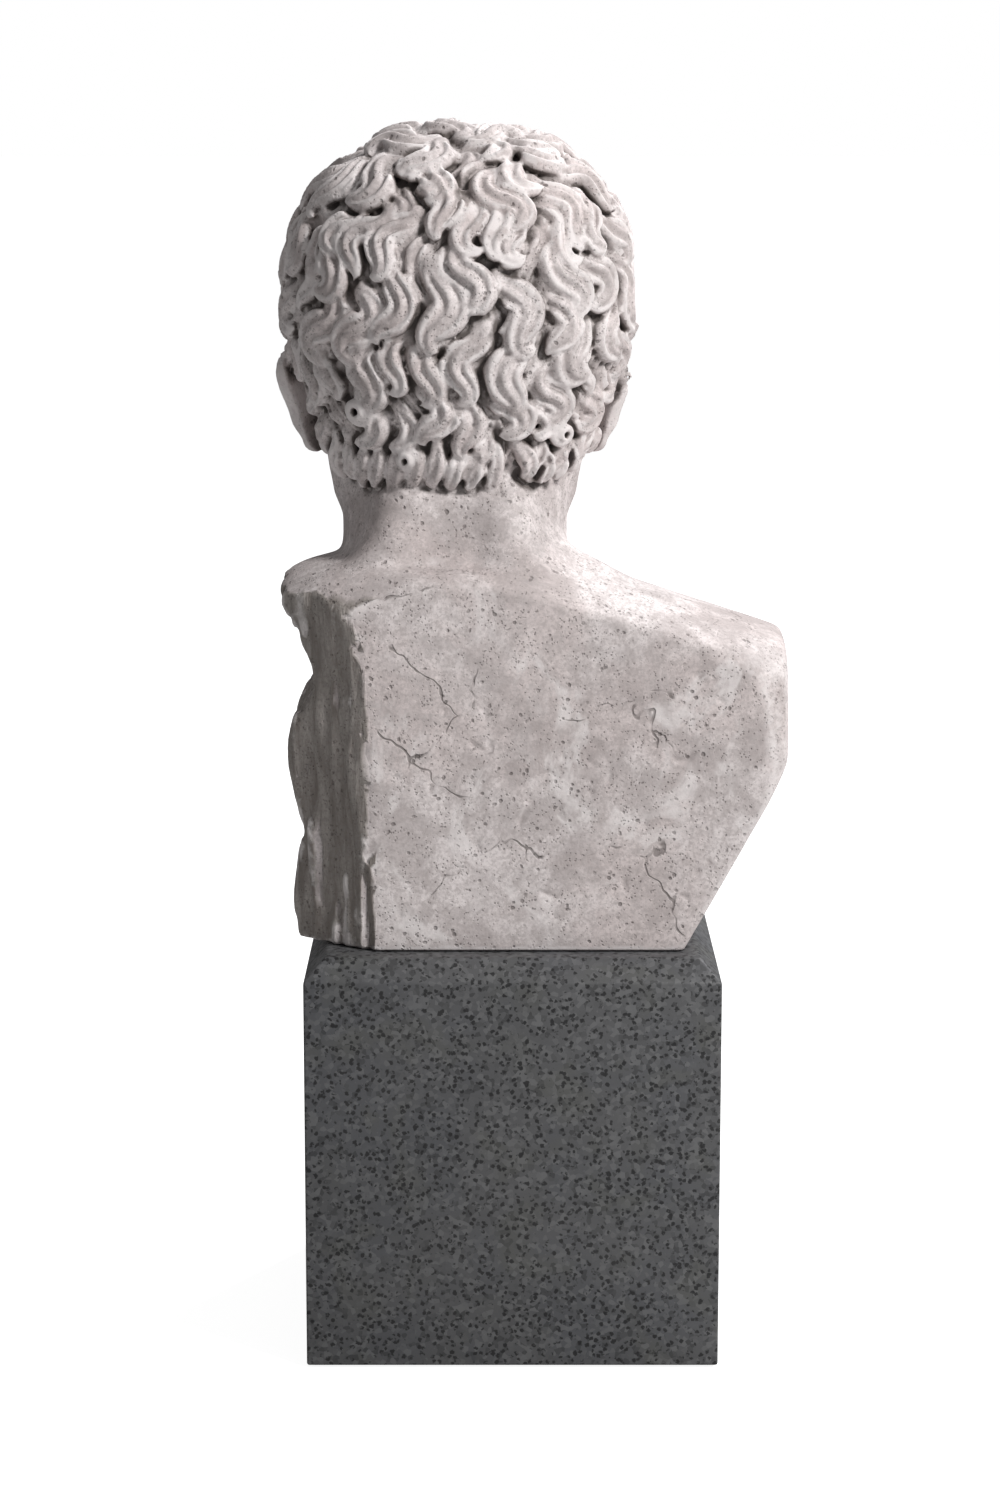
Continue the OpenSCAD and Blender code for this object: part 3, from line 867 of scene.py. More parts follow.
def bustMesh(grid):
    size = grid["voxel"]
    volume = openvdb.FloatGrid(background=4.0)
    volume.copyFromArray(np.clip(grid["field"] / size, -4, 4).astype(np.float32), tolerance=0.0)
    points, _, quads = volume.convertToPolygons(isovalue=0.0, adaptivity=0.0)
    points = points * size + np.array([a[0] for a in grid["axes"]])
    mesh = bpy.data.meshes.new("bustStone")
    mesh.vertices.add(len(points))
    mesh.vertices.foreach_set("co", (points * millimetre).astype(np.float32).ravel())
    mesh.loops.add(len(quads) * 4)
    mesh.loops.foreach_set("vertex_index", quads.astype(np.int32).ravel())
    mesh.polygons.add(len(quads))
    mesh.polygons.foreach_set("loop_start", np.arange(0, len(quads) * 4, 4, dtype=np.int32))
    mesh.update(calc_edges=True)
    mesh.validate()
    piece = bpy.data.objects.new("bustStone", mesh)
    scene.collection.objects.link(piece)
    print("stone skinned,", len(quads), "faces")
    ratio = bust["triangles"] / (2 * len(quads))
    if ratio < 1:
        thin = piece.modifiers.new("thin", "DECIMATE")
        thin.ratio = ratio
        plainMesh(piece)
    print("stone thinned to", len(piece.data.polygons), "faces")
    piece.data.polygons.foreach_set("use_smooth", np.ones(len(piece.data.polygons), dtype=bool))
    return piece


def surfaceFacts(piece, grid):
    # how hollow each place is, for the dirt and the painted shade laid there, how far it stands out, for
    # the wear and the painted highlight on high places, and which face of the stone it is on
    mesh = piece.data
    count = len(mesh.vertices)
    points = np.empty(count * 3, dtype=np.float32)
    normals = np.empty(count * 3, dtype=np.float32)
    mesh.vertices.foreach_get("co", points)
    mesh.vertex_normals.foreach_get("vector", normals)
    points, normals = points.reshape(-1, 3) / millimetre, normals.reshape(-1, 3)
    hollow = np.zeros(count)
    for reach, weight in ((2.5, 0.3), (5.0, 0.4), (10.0, 0.3)):
        depth = fieldAt(grid, points + normals * reach)
        hollow += weight * np.clip(1 - depth / reach, 0, 1)
    wearAndHighlight = np.zeros(count)
    for reach, weight in ((2.0, 0.5), (4.5, 0.5)):
        depth = fieldAt(grid, points - normals * reach)
        wearAndHighlight += weight * np.clip(1 + depth / reach, 0, 1)
    # the eyeballs are round, but get neither wear nor painted highlight
    for side in (-1, 1):
        centre = np.array((neckX + side * eye["side"], eye["y"], eye["z"]))
        wearAndHighlight *= smoothStep(13, 21, np.linalg.norm(points - centre, axis=1))
    turn = math.radians(cuts["obliqueTurn"])
    isOblique = normals[:, 0] * math.sin(turn) + normals[:, 1] * math.cos(turn) > 0.80
    isOblique &= normals[:, 1] < 0.95
    isSide = normals[:, 0] > 0.75
    rough = (isOblique | isSide) & (points[:, 0] > 60) & (points[:, 2] < 425)
    sawn = (normals[:, 1] > 0.93) & (points[:, 1] > 84) & (points[:, 2] < 425)
    for name, values in (("hollow", hollow), ("wearAndHighlight", wearAndHighlight), ("roughCut", rough), ("sawnFace", sawn)):
        layer = mesh.attributes.new(name, "FLOAT", "POINT")
        layer.data.foreach_set("value", np.asarray(values, dtype=np.float32))


# finishes
finishes = {
    "marblePale": (0.80, 0.735, 0.73), "marbleDark": (0.40, 0.352, 0.345),
    # the dirt colour doubles as painted shade, laid dark in the hollows
    "marblePink": (0.70, 0.62, 0.61), "marbleDirtShade": (0.095, 0.078, 0.070),
    "marblePit": (0.11, 0.090, 0.083), "cutBrown": (0.215, 0.188, 0.170),
    # smear is the pale of the smears on the sawn back, and also of the painted highlight on high places
    "cutPale": (0.46, 0.42, 0.395), "smear": (0.90, 0.85, 0.845), "veil": (0.45, 0.41, 0.405),
    "graniteBase": (0.094, 0.0942, 0.098), "graniteBlack": (0.010, 0.010, 0.011),
    "graniteLight": (0.185, 0.186, 0.190), "graniteOlive": (0.094, 0.0945, 0.090),
    "graniteBlue": (0.088, 0.090, 0.098), "graniteDust": (0.30, 0.29, 0.285),
}


def newMaterial(name):
    material = bpy.data.materials.new(name)
    material.use_nodes = True
    nodes, links = material.node_tree.nodes, material.node_tree.links
    nodes.clear()
    out, shader = nodes.new("ShaderNodeOutputMaterial"), nodes.new("ShaderNodeBsdfPrincipled")
    links.new(shader.outputs[0], out.inputs[0])
    where = nodes.new("ShaderNodeTexCoord")
    return {"material": material, "nodes": nodes, "links": links, "shader": shader,
            "where": where.outputs["Object"]}


def feed(m, value, socket):
    if isinstance(value, bpy.types.NodeSocket):
        m["links"].new(value, socket)
    elif isinstance(value, (tuple, list)) and len(value) == 3 and socket.type == "RGBA":
        socket.default_value = (*value, 1.0)
    else:
        socket.default_value = value


def place(m, scale=(1, 1, 1), turn=(0, 0, 0), shift=(0, 0, 0)):
    node = m["nodes"].new("ShaderNodeMapping")
    feed(m, m["where"], node.inputs["Vector"])
    node.inputs["Scale"].default_value = scale
    node.inputs["Rotation"].default_value = turn
    node.inputs["Location"].default_value = shift
    return node.outputs[0]


def noise(m, size, detail=4.0, rough=0.5, twist=0.0, at=None):
    # size is the pattern's usual width in millimetres
    node = m["nodes"].new("ShaderNodeTexNoise")
    feed(m, m["where"] if at is None else at, node.inputs["Vector"])
    node.inputs["Scale"].default_value = 1000.0 / size
    node.inputs["Detail"].default_value = detail
    node.inputs["Roughness"].default_value = rough
    node.inputs["Distortion"].default_value = twist
    return node.outputs["Fac"]


def cells(m, size, feature="F1", random=1.0, at=None, output="Distance"):
    node = m["nodes"].new("ShaderNodeTexVoronoi")
    node.feature = feature
    feed(m, m["where"] if at is None else at, node.inputs["Vector"])
    node.inputs["Scale"].default_value = 1000.0 / size
    node.inputs["Randomness"].default_value = random
    return node.outputs[output]


def maths(m, operation, a, b=0.5):
    node = m["nodes"].new("ShaderNodeMath")
    node.operation = operation
    feed(m, a, node.inputs[0])
    feed(m, b, node.inputs[1])
    return node.outputs[0]


def times(m, a, b):
    return maths(m, "MULTIPLY", a, b)


def inverse(m, a):
    return maths(m, "SUBTRACT", 1.0, a)


def between(m, value, low, high, outLow=0.0, outHigh=1.0):
    # the value's range stretched to a new one, with soft ends
    node = m["nodes"].new("ShaderNodeMapRange")
    node.interpolation_type = "SMOOTHSTEP"
    feed(m, value, node.inputs["Value"])
    for name, v in (("From Min", low), ("From Max", high), ("To Min", outLow), ("To Max", outHigh)):
        node.inputs[name].default_value = v
    return node.outputs["Result"]


def blend(m, factor, a, b):
    node = m["nodes"].new("ShaderNodeMix")
    node.data_type = "RGBA"
    feed(m, factor, node.inputs["Factor"])
    feed(m, a, node.inputs[6])
    feed(m, b, node.inputs[7])
    return node.outputs[2]


def fact(m, name):
    # one of the facts stored on the stone's mesh
    node = m["nodes"].new("ShaderNodeAttribute")
    node.attribute_name = name
    return node.outputs["Fac"]


def warped(m, size, amount):
    # object coordinates pushed about by noise, amount in millimetres
    node = m["nodes"].new("ShaderNodeTexNoise")
    feed(m, m["where"], node.inputs["Vector"])
    node.inputs["Scale"].default_value = 1000.0 / size
    node.inputs["Detail"].default_value = 2.0
    push = m["nodes"].new("ShaderNodeVectorMath")
    push.operation = "MULTIPLY_ADD"
    feed(m, node.outputs["Color"], push.inputs[0])
    push.inputs[1].default_value = (amount * millimetre,) * 3
    feed(m, m["where"], push.inputs[2])
    return push.outputs[0]


def bumped(m, height, strength, distance, after=None):
    node = m["nodes"].new("ShaderNodeBump")
    feed(m, height, node.inputs["Height"])
    node.inputs["Strength"].default_value = strength
    node.inputs["Distance"].default_value = distance * millimetre
    if after is not None:
        feed(m, after, node.inputs["Normal"])
    return node.outputs[0]


def finish(m, colour=None, roughness=None, normal=None, metallic=0.0, ior=1.5, specular=0.5, sheen=0.0):
    s = m["shader"].inputs
    if colour is not None:
        feed(m, colour, s["Base Color"])
    if roughness is not None:
        feed(m, roughness, s["Roughness"])
    if normal is not None:
        feed(m, normal, s["Normal"])
    s["Metallic"].default_value = metallic
    s["IOR"].default_value = ior
    s["Specular IOR Level"].default_value = specular
    if sheen:
        s["Sheen Weight"].default_value = sheen
        s["Sheen Roughness"].default_value = 0.6
    return m["material"]


def marbleFinish():
    m = newMaterial("weatheredMarble")
    c = finishes
    large = between(m, noise(m, 110, 5, 0.6, 0.6), 0.44, 0.58)
    middle = between(m, noise(m, 30, 6, 0.7, 0.4, place(m, shift=(3.1, 0.4, 1.7))), 0.43, 0.60)
    small = between(m, noise(m, 7, 5, 0.7, 0.3, place(m, shift=(0.6, 2.4, 5.2))), 0.42, 0.62)
    grain = noise(m, 1.9, 3, 0.75)
    colour = blend(m, large, c["marblePale"], c["marblePink"])
    colour = blend(m, times(m, middle, 0.56), colour, c["marbleDark"])
    colour = blend(m, times(m, small, 0.36), colour, c["marbleDark"])
    colour = blend(m, between(m, grain, 0.46, 0.60, 0.0, 0.48), colour, c["marbleDark"])
    # grey veils that run through the stone
    veil = between(m, noise(m, 60, 4, 0.55, 2.2, place(m, (1.0, 0.6, 1.6), (0.5, 0.4, 0.2))), 0.52, 0.60)
    veilEdge = times(m, veil, between(m, noise(m, 13, 4, 0.6), 0.35, 0.7, 0.05, 0.35))
    colour = blend(m, veilEdge, colour, c["veil"])
    # the sawn back: pale smears and hairline cracks
    sawn = fact(m, "sawnFace")
    smearPlace = place(m, (1.0, 1.0, 0.7), (0, 0, 0), (0.7, 0.3, 0.9))
    smear = between(m, noise(m, 50, 5, 0.65, 1.2, smearPlace), 0.53, 0.66)
    colour = blend(m, times(m, times(m, smear, sawn), 0.60), colour, c["smear"])
    crackAt = cells(m, 62, "DISTANCE_TO_EDGE", 1.0, warped(m, 20, 26))
    crack = between(m, crackAt, 0.004, 0.014, 1.0, 0.0)
    crackWhere = between(m, noise(m, 42, 3, 0.6, 0.0, place(m, shift=(1.3, 2.2, 0.2))), 0.52, 0.58)
    crack = times(m, times(m, crack, crackWhere), sawn)
    colour = blend(m, times(m, crack, 0.62), colour, c["marblePit"])
    # the rough cut: brown crust with streaks down it
    rough = fact(m, "roughCut")
    streak = noise(m, 8, 6, 0.65, 0.5, place(m, (1.0, 1.0, 0.16)))
    crust = blend(m, between(m, streak, 0.34, 0.68), c["cutBrown"], c["cutPale"])
    crust = blend(m, between(m, noise(m, 30, 4, 0.6), 0.38, 0.66, 0.0, 0.4), crust, c["cutBrown"])
    crust = blend(m, between(m, grain, 0.42, 0.66, 0.0, 0.5), crust, c["cutBrown"])
    colour = blend(m, times(m, rough, 0.95), colour, crust)
    # pits, which keep dirt
    pitSize = cells(m, 5.2, "F1", 1.0, warped(m, 4, 2.6))
    pitWhere = between(m, noise(m, 17, 3, 0.6), 0.46, 0.60)
    pit = times(m, between(m, pitSize, 0.12, 0.26, 1.0, 0.0), pitWhere)
    finePit = between(m, cells(m, 1.9, "F1", 1.0, warped(m, 2.4, 1.0)), 0.14, 0.32, 1.0, 0.0)
    fineWhere = between(m, noise(m, 9, 3, 0.6, 0, place(m, shift=(0.2, 5, 1))), 0.42, 0.58)
    finePit = times(m, finePit, fineWhere)
    colour = blend(m, times(m, pit, 0.60), colour, c["marblePit"])
    colour = blend(m, times(m, finePit, 0.50), colour, c["marblePit"])
    # dirt and painted shade in the hollows, broken up so that it does not lie evenly
    hollow = fact(m, "hollow")
    breaks = times(m, maths(m, "SUBTRACT", noise(m, 6, 5, 0.7), 0.5), 0.40)
    broken = maths(m, "ADD", hollow, breaks)
    dirtAndShade = between(m, broken, 0.42, 0.80)
    colour = blend(m, times(m, dirtAndShade, 0.86), colour, c["marbleDirtShade"])
    filmAndShade = between(m, broken, 0.24, 0.50)
    colour = blend(m, times(m, filmAndShade, 0.24), colour, c["marbleDirtShade"])
    # high places are rubbed pale, which is wear and also a painted highlight on the crests
    out = maths(m, "ADD", fact(m, "wearAndHighlight"), times(m, maths(m, "SUBTRACT", small, 0.5), 0.12))
    rubbedAndHighlight = times(m, between(m, out, 0.20, 0.46), between(m, broken, 0.25, 0.45, 1.0, 0.0))
    colour = blend(m, times(m, rubbedAndHighlight, 0.62), colour, c["smear"])
    roughness = between(m, middle, 0.0, 1.0, 0.66, 0.84)
    normal = bumped(m, noise(m, 5.5, 6, 0.62), 0.55, 0.55)
    normal = bumped(m, grain, 0.40, 0.22, normal)
    allPits = maths(m, "MAXIMUM", pit, times(m, finePit, 0.6))
    normal = bumped(m, inverse(m, allPits), 0.8, 0.8, normal)
    normal = bumped(m, times(m, streak, rough), 0.9, 2.2, normal)
    normal = bumped(m, inverse(m, crack), 0.8, 0.7, normal)
    return finish(m, colour, roughness, normal, ior=1.49, specular=0.42)


def graniteFinish():
    m = newMaterial("honedGranite")
    c = finishes
    blotch = between(m, noise(m, 42, 3, 0.5, 0.4), 0.38, 0.66)
    colour = blend(m, times(m, blotch, 0.8), c["graniteBase"], c["graniteBlue"])
    olive = between(m, noise(m, 30, 3, 0.5, 0.3, place(m, shift=(2, 1, 4))), 0.50, 0.66)
    colour = blend(m, times(m, olive, 0.7), colour, c["graniteOlive"])
    # crystals of feldspar, then dark mica over them
    crystal = cells(m, 2.6, "F1", 1.0, warped(m, 2.6, 1.1), "Color")
    level = m["nodes"].new("ShaderNodeSeparateColor")
    feed(m, crystal, level.inputs[0])
    colour = blend(m, between(m, level.outputs[0], 0.50, 0.95, 0.0, 0.42), colour, c["graniteLight"])
    colour = blend(m, between(m, level.outputs[1], 0.70, 0.92, 0.0, 0.45), colour, c["graniteBlack"])
    mica = cells(m, 3.3, "F1", 1.0, warped(m, 1.8, 2.4))
    micaSpot = between(m, mica, 0.30, 0.42, 1.0, 0.0)
    micaWhere = between(m, noise(m, 6, 3, 0.6), 0.40, 0.49)
    black = times(m, micaSpot, micaWhere)
    colour = blend(m, times(m, black, 0.90), colour, c["graniteBlack"])
    spark = between(m, cells(m, 3.4, "F1", 1.0, place(m, shift=(0.4, 0.9, 0.3))), 0.06, 0.13, 1.0, 0.0)
    colour = blend(m, times(m, spark, 0.35), colour, c["graniteLight"])
    dust = between(m, noise(m, 120, 5, 0.6, 0.5), 0.45, 0.75, 0.0, 0.05)
    colour = blend(m, dust, colour, c["graniteDust"])
    roughness = between(m, noise(m, 6, 4, 0.6), 0.3, 0.7, 0.42, 0.56)
    normal = bumped(m, noise(m, 1.3, 3, 0.6), 0.25, 0.10)
    normal = bumped(m, inverse(m, black), 0.15, 0.12, normal)
    return finish(m, colour, roughness, normal, ior=1.54, specular=0.36)


def steelFinish(name, tone, shade, rough, mark):
    # turned or ground steel: fine marks round the axis, with a few handling scratches
    m = newMaterial(name)
    rings = noise(m, 1.0, 4, 0.6, 0.0, place(m, (0.25, 0.25, 3.0)))
    colour = blend(m, between(m, noise(m, 14, 4, 0.6), 0.35, 0.70), tone, shade)
    colour = blend(m, between(m, rings, 0.45, 0.75, 0.0, 0.35), colour, shade)
    scratch = between(m, cells(m, 16, "DISTANCE_TO_EDGE", 1.0, warped(m, 9, 9)), 0.004, 0.012, 1.0, 0.0)
    roughness = between(m, rings, 0.3, 0.7, rough - 0.06, rough + 0.08)
    roughness = maths(m, "ADD", roughness, times(m, scratch, 0.12))
    normal = bumped(m, rings, mark, 0.05)
    normal = bumped(m, inverse(m, scratch), 0.2, 0.04, normal)
    return finish(m, colour, roughness, normal, metallic=1.0, ior=2.5)


def discFinish():
    # black slip plastic with the circles its turning left
    m = newMaterial("slipPlastic")
    parts = m["nodes"].new("ShaderNodeSeparateXYZ")
    feed(m, m["where"], parts.inputs[0])
    x, y = parts.outputs[0], parts.outputs[1]
    reach = maths(m, "SQRT", maths(m, "ADD", times(m, x, x), times(m, y, y)))
    waves = maths(m, "SINE", times(m, reach, 2 * math.pi / (0.7 * millimetre)))
    cloud = noise(m, 18, 4, 0.6)
    colour = blend(m, between(m, cloud, 0.35, 0.7), (0.022, 0.022, 0.024), (0.045, 0.045, 0.047))
    colour = blend(m, between(m, waves, -1.0, 1.0, 0.0, 0.25), colour, (0.075, 0.075, 0.078))
    scuff = between(m, noise(m, 5, 5, 0.7, 1.5), 0.60, 0.72, 0.0, 0.35)
    colour = blend(m, scuff, colour, (0.14, 0.14, 0.14))
    normal = bumped(m, waves, 0.25, 0.06)
    return finish(m, colour, between(m, cloud, 0.3, 0.7, 0.38, 0.55), normal, ior=1.48)


def feltFinish():
    m = newMaterial("woolFelt")
    fibre = noise(m, 1.5, 6, 0.75, 3.5, place(m, (1.0, 1.0, 0.4)))
    tuft = noise(m, 7, 4, 0.6, 0.6)
    colour = blend(m, between(m, fibre, 0.35, 0.68), (0.018, 0.019, 0.020), (0.075, 0.077, 0.079))
    colour = blend(m, between(m, tuft, 0.4, 0.7, 0.0, 0.5), colour, (0.10, 0.10, 0.10))
    lint = between(m, noise(m, 1.0, 5, 0.8, 5.0, place(m, shift=(1, 2, 0))), 0.66, 0.74, 0.0, 0.5)
    colour = blend(m, lint, colour, (0.28, 0.28, 0.27))
    normal = bumped(m, fibre, 0.8, 0.35)
    normal = bumped(m, tuft, 0.4, 0.5, normal)
    return finish(m, colour, between(m, tuft, 0.3, 0.7, 0.88, 0.98), normal, sheen=0.35, specular=0.2)


def groutFinish():
    m = newMaterial("cementGrout")
    sand = cells(m, 0.9, "F1", 1.0, None, "Color")
    level = m["nodes"].new("ShaderNodeSeparateColor")
    feed(m, sand, level.inputs[0])
    cloud = noise(m, 12, 5, 0.6, 0.4)
    colour = blend(m, between(m, cloud, 0.35, 0.68), (0.34, 0.33, 0.31), (0.46, 0.45, 0.43))
    colour = blend(m, between(m, level.outputs[0], 0.6, 0.95, 0.0, 0.45), colour, (0.62, 0.60, 0.56))
    colour = blend(m, between(m, level.outputs[1], 0.75, 0.95, 0.0, 0.6), colour, (0.13, 0.12, 0.11))
    hole = between(m, cells(m, 3.2), 0.08, 0.18, 1.0, 0.0)
    colour = blend(m, times(m, hole, 0.7), colour, (0.10, 0.10, 0.095))
    normal = bumped(m, level.outputs[0], 0.4, 0.18)
    normal = bumped(m, inverse(m, hole), 0.7, 0.6, normal)
    return finish(m, colour, between(m, cloud, 0.3, 0.7, 0.86, 0.95), normal, specular=0.3)


def resinFinish():
    m = newMaterial("settingResin")
    cloud = noise(m, 15, 4, 0.6, 0.8)
    colour = blend(m, between(m, cloud, 0.35, 0.68), (0.36, 0.30, 0.21), (0.50, 0.44, 0.34))
    powder = between(m, noise(m, 1.4, 4, 0.7), 0.50, 0.70, 0.0, 0.5)
    colour = blend(m, powder, colour, (0.60, 0.55, 0.46))
    bubble = between(m, cells(m, 2.6, "F1", 1.0, place(m, shift=(0.1, 0.7, 0.2))), 0.10, 0.17, 1.0, 0.0)
    colour = blend(m, times(m, bubble, 0.6), colour, (0.20, 0.16, 0.11))
    normal = bumped(m, inverse(m, bubble), 0.6, 0.4)
    return finish(m, colour, between(m, cloud, 0.3, 0.7, 0.30, 0.45), normal, ior=1.55)


materials = {
    "marble": marbleFinish(),
    "granite": graniteFinish(),
    "felt": feltFinish(),
    "stainless": steelFinish("stainlessSteel", (0.60, 0.60, 0.61), (0.44, 0.44, 0.45), 0.30, 0.25),
    "spring_steel": steelFinish("springSteel", (0.16, 0.155, 0.15), (0.075, 0.075, 0.085), 0.42, 0.35),
    "grout": groutFinish(),
    "slip_plastic": discFinish(),
    "resin": resinFinish(),
}
print("materials", len(materials))


def coat(piece, material):
    piece.data.materials.clear()
    piece.data.materials.append(material)


# granite block
block = {"chamfer": 11.0, "easing": 1.3, "easingSteps": 3, "discGap": 0.5, "washerGap": 1.5,
         "wrenchGap": 4.0}


def cylinderObject(name, radius, low, high, sides=96):
    work = bmesh.new()
    middle = Matrix.Translation((0, 0, (low + high) / 2 * millimetre))
    bmesh.ops.create_cone(work, cap_ends=True, cap_tris=False, segments=sides,
                          radius1=radius * millimetre, radius2=radius * millimetre,
                          depth=(high - low) * millimetre, matrix=middle)
    mesh = bpy.data.meshes.new(name)
    work.to_mesh(mesh)
    work.free()
    piece = bpy.data.objects.new(name, mesh)
    scene.collection.objects.link(piece)
    return piece


def cutWith(piece, tool):
    cut = piece.modifiers.new("cut", "BOOLEAN")
    cut.operation, cut.solver, cut.object = "DIFFERENCE", "EXACT", tool
    plainMesh(piece)
    bpy.data.objects.remove(tool)


def graniteBlock():
    low, high = [list(c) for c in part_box("plinth")]
    work = bmesh.new()
    bmesh.ops.create_cube(work, size=1.0)
    for v in work.verts:
        v.co = Vector([(low[i] + high[i]) / 2 + v.co[i] * (high[i] - low[i]) for i in range(3)])
    top = [e for e in work.edges if all(v.co.z > high[2] - 1e-6 for v in e.verts)]
    bmesh.ops.bevel(work, geom=top, offset=block["chamfer"] * millimetre, segments=1,
                    affect="EDGES", profile=0.5)
    sharp = [e for e in work.edges if e.calc_face_angle(0) > 0.5]
    bmesh.ops.bevel(work, geom=sharp, offset=block["easing"] * millimetre, segments=block["easingSteps"],
                    affect="EDGES", profile=0.5)
    mesh = bpy.data.meshes.new("graniteBlock")
    work.to_mesh(mesh)
    work.free()
    piece = bpy.data.objects.new("graniteBlock", mesh)
    scene.collection.objects.link(piece)
    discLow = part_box("slip_disc")[0].z / millimetre
    discRadius = (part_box("slip_disc")[1].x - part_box("slip_disc")[0].x) / 2 / millimetre
    washerLow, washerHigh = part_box("upper_washer")
    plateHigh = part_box("plate_washer")[1]
    top, bottom = high[2] / millimetre, low[2] / millimetre
    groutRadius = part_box("stud_grout")[1].x / millimetre
    cutWith(piece, cylinderObject("tool", discRadius + block["discGap"], discLow, top + 5))
    washerRadius, plateRadius = washerHigh.x / millimetre, plateHigh.x / millimetre
    recessTop, pocketFloor = plateHigh.z / millimetre, washerLow.z / millimetre
    cutWith(piece, cylinderObject("tool", washerRadius + block["washerGap"], pocketFloor, discLow + 1))
    cutWith(piece, cylinderObject("tool", plateRadius + block["wrenchGap"], bottom - 5, recessTop))
    cutWith(piece, cylinderObject("tool", groutRadius + 0.02, recessTop - 1, pocketFloor + 1, 64))
    shadeByAngle(piece, 35)
    return piece


def shadeByAngle(piece, degrees):
    piece.data.polygons.foreach_set("use_smooth", [True] * len(piece.data.polygons))
    work = bmesh.new()
    work.from_mesh(piece.data)
    for e in work.edges:
        e.smooth = e.calc_face_angle(0) < math.radians(degrees)
    work.to_mesh(piece.data)
    work.free()


granite = graniteBlock()
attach(granite, "plinth")
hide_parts("plinth")
print("granite block", len(granite.data.polygons), "faces")


# stud, with its threads laid along a helix
studSizes = {"pitch": 2.0, "depth": 1.15, "lowerEnd": 62.0, "upperStart": 186.0, "upperEnd": 219.5,
             "pointsPerTurn": 28}


def threadTree():
    tree = bpy.data.node_groups.new("threadOnRod", "GeometryNodeTree")
    face = tree.interface
    face.new_socket("Geometry", in_out="OUTPUT", socket_type="NodeSocketGeometry")
    sizes = {}
    wanted = (("Crest radius", "Float", 0.008), ("Depth", "Float", 0.0012), ("Pitch", "Float", 0.002),
              ("Turns", "Float", 10.0), ("Start height", "Float", 0.0), ("Points per turn", "Int", 28),
              ("Material", "Material", None))
    for name, kind, value in wanted:
        socket = face.new_socket(name, in_out="INPUT", socket_type="NodeSocket" + kind)
        if value is not None:
            socket.default_value = value
        sizes[name] = socket.identifier
    nodes, links = tree.nodes, tree.links
    given, out = nodes.new("NodeGroupInput"), nodes.new("NodeGroupOutput")

    def maths(operation, a, b):
        node = nodes.new("ShaderNodeMath")
        node.operation = operation
        for i, v in enumerate((a, b)):
            if isinstance(v, (int, float)):
                node.inputs[i].default_value = v
            else:
                links.new(v, node.inputs[i])
        return node.outputs[0]

    middle = maths("SUBTRACT", given.outputs["Crest radius"], given.outputs["Depth"])
    spiral = nodes.new("GeometryNodeCurveSpiral")
    links.new(given.outputs["Points per turn"], spiral.inputs["Resolution"])
    links.new(given.outputs["Turns"], spiral.inputs["Rotations"])
    links.new(middle, spiral.inputs["Start Radius"])
    links.new(middle, spiral.inputs["End Radius"])
    links.new(maths("MULTIPLY", given.outputs["Pitch"], given.outputs["Turns"]), spiral.inputs["Height"])
    upright = nodes.new("GeometryNodeSetCurveNormal")
    upright.mode = "Z_UP"
    links.new(spiral.outputs[0], upright.inputs[0])
    ridge = nodes.new("GeometryNodeCurvePrimitiveQuadrilateral")
    ridge.mode = "POINTS"
    halfPitch = maths("MULTIPLY", given.outputs["Pitch"], 0.44)
    crestHalf = maths("MULTIPLY", given.outputs["Pitch"], 0.07)
    corners = ((-1, halfPitch, 0.15), (1, halfPitch, 0.15), (1, crestHalf, 1.0), (-1, crestHalf, 1.0))
    for i, (sign, reach, out0) in enumerate(corners):
        corner = nodes.new("ShaderNodeCombineXYZ")
        rise = maths("MULTIPLY", given.outputs["Depth"], out0 if out0 == 1.0 else -out0)
        links.new(rise, corner.inputs[0])
        links.new(maths("MULTIPLY", reach, sign), corner.inputs[1])
        links.new(corner.outputs[0], ridge.inputs["Point " + str(i + 1)])
    sweep = nodes.new("GeometryNodeCurveToMesh")
    sweep.inputs["Fill Caps"].default_value = True
    links.new(upright.outputs[0], sweep.inputs["Curve"])
    links.new(ridge.outputs[0], sweep.inputs["Profile Curve"])
    raised = nodes.new("GeometryNodeTransform")
    shift = nodes.new("ShaderNodeCombineXYZ")
    links.new(given.outputs["Start height"], shift.inputs[2])
    links.new(shift.outputs[0], raised.inputs["Translation"])
    links.new(sweep.outputs[0], raised.inputs[0])
    whole = nodes.new("GeometryNodeRealizeInstances")
    coat = nodes.new("GeometryNodeSetMaterial")
    links.new(raised.outputs[0], whole.inputs[0])
    links.new(whole.outputs[0], coat.inputs[0])
    links.new(given.outputs["Material"], coat.inputs["Material"])
    links.new(coat.outputs[0], out.inputs[0])
    return tree, sizes


def ringPoints(ring, angle):
    # points of a profile of radius and height in millimetres, turned about the axis
    across, along = math.cos(angle) * millimetre, math.sin(angle) * millimetre
    return [(r * across, r * along, z * millimetre) for r, z in ring]


def ringFaces(steps, rows):
    faces = []
    for k in range(steps):
        n = (k + 1) % steps
        for i in range(rows):
            j = (i + 1) % rows
            faces.append((k * rows + i, k * rows + j, n * rows + j, n * rows + i))
    return faces


def turnedPiece(name, profile, sides=64):
    # profile: radius and height in millimetres, from the axis round to the axis again
    points = []
    for k in range(sides):
        points += ringPoints(profile, 2 * math.pi * k / sides)
    piece = meshObject(name, points, ringFaces(sides, len(profile)))
    work = bmesh.new()
    work.from_mesh(piece.data)
    bmesh.ops.remove_doubles(work, verts=work.verts, dist=1e-7)
    bmesh.ops.dissolve_degenerate(work, edges=work.edges, dist=1e-7)
    bmesh.ops.recalc_face_normals(work, faces=work.faces)
    work.to_mesh(piece.data)
    work.free()
    shadeByAngle(piece, 35)
    return piece


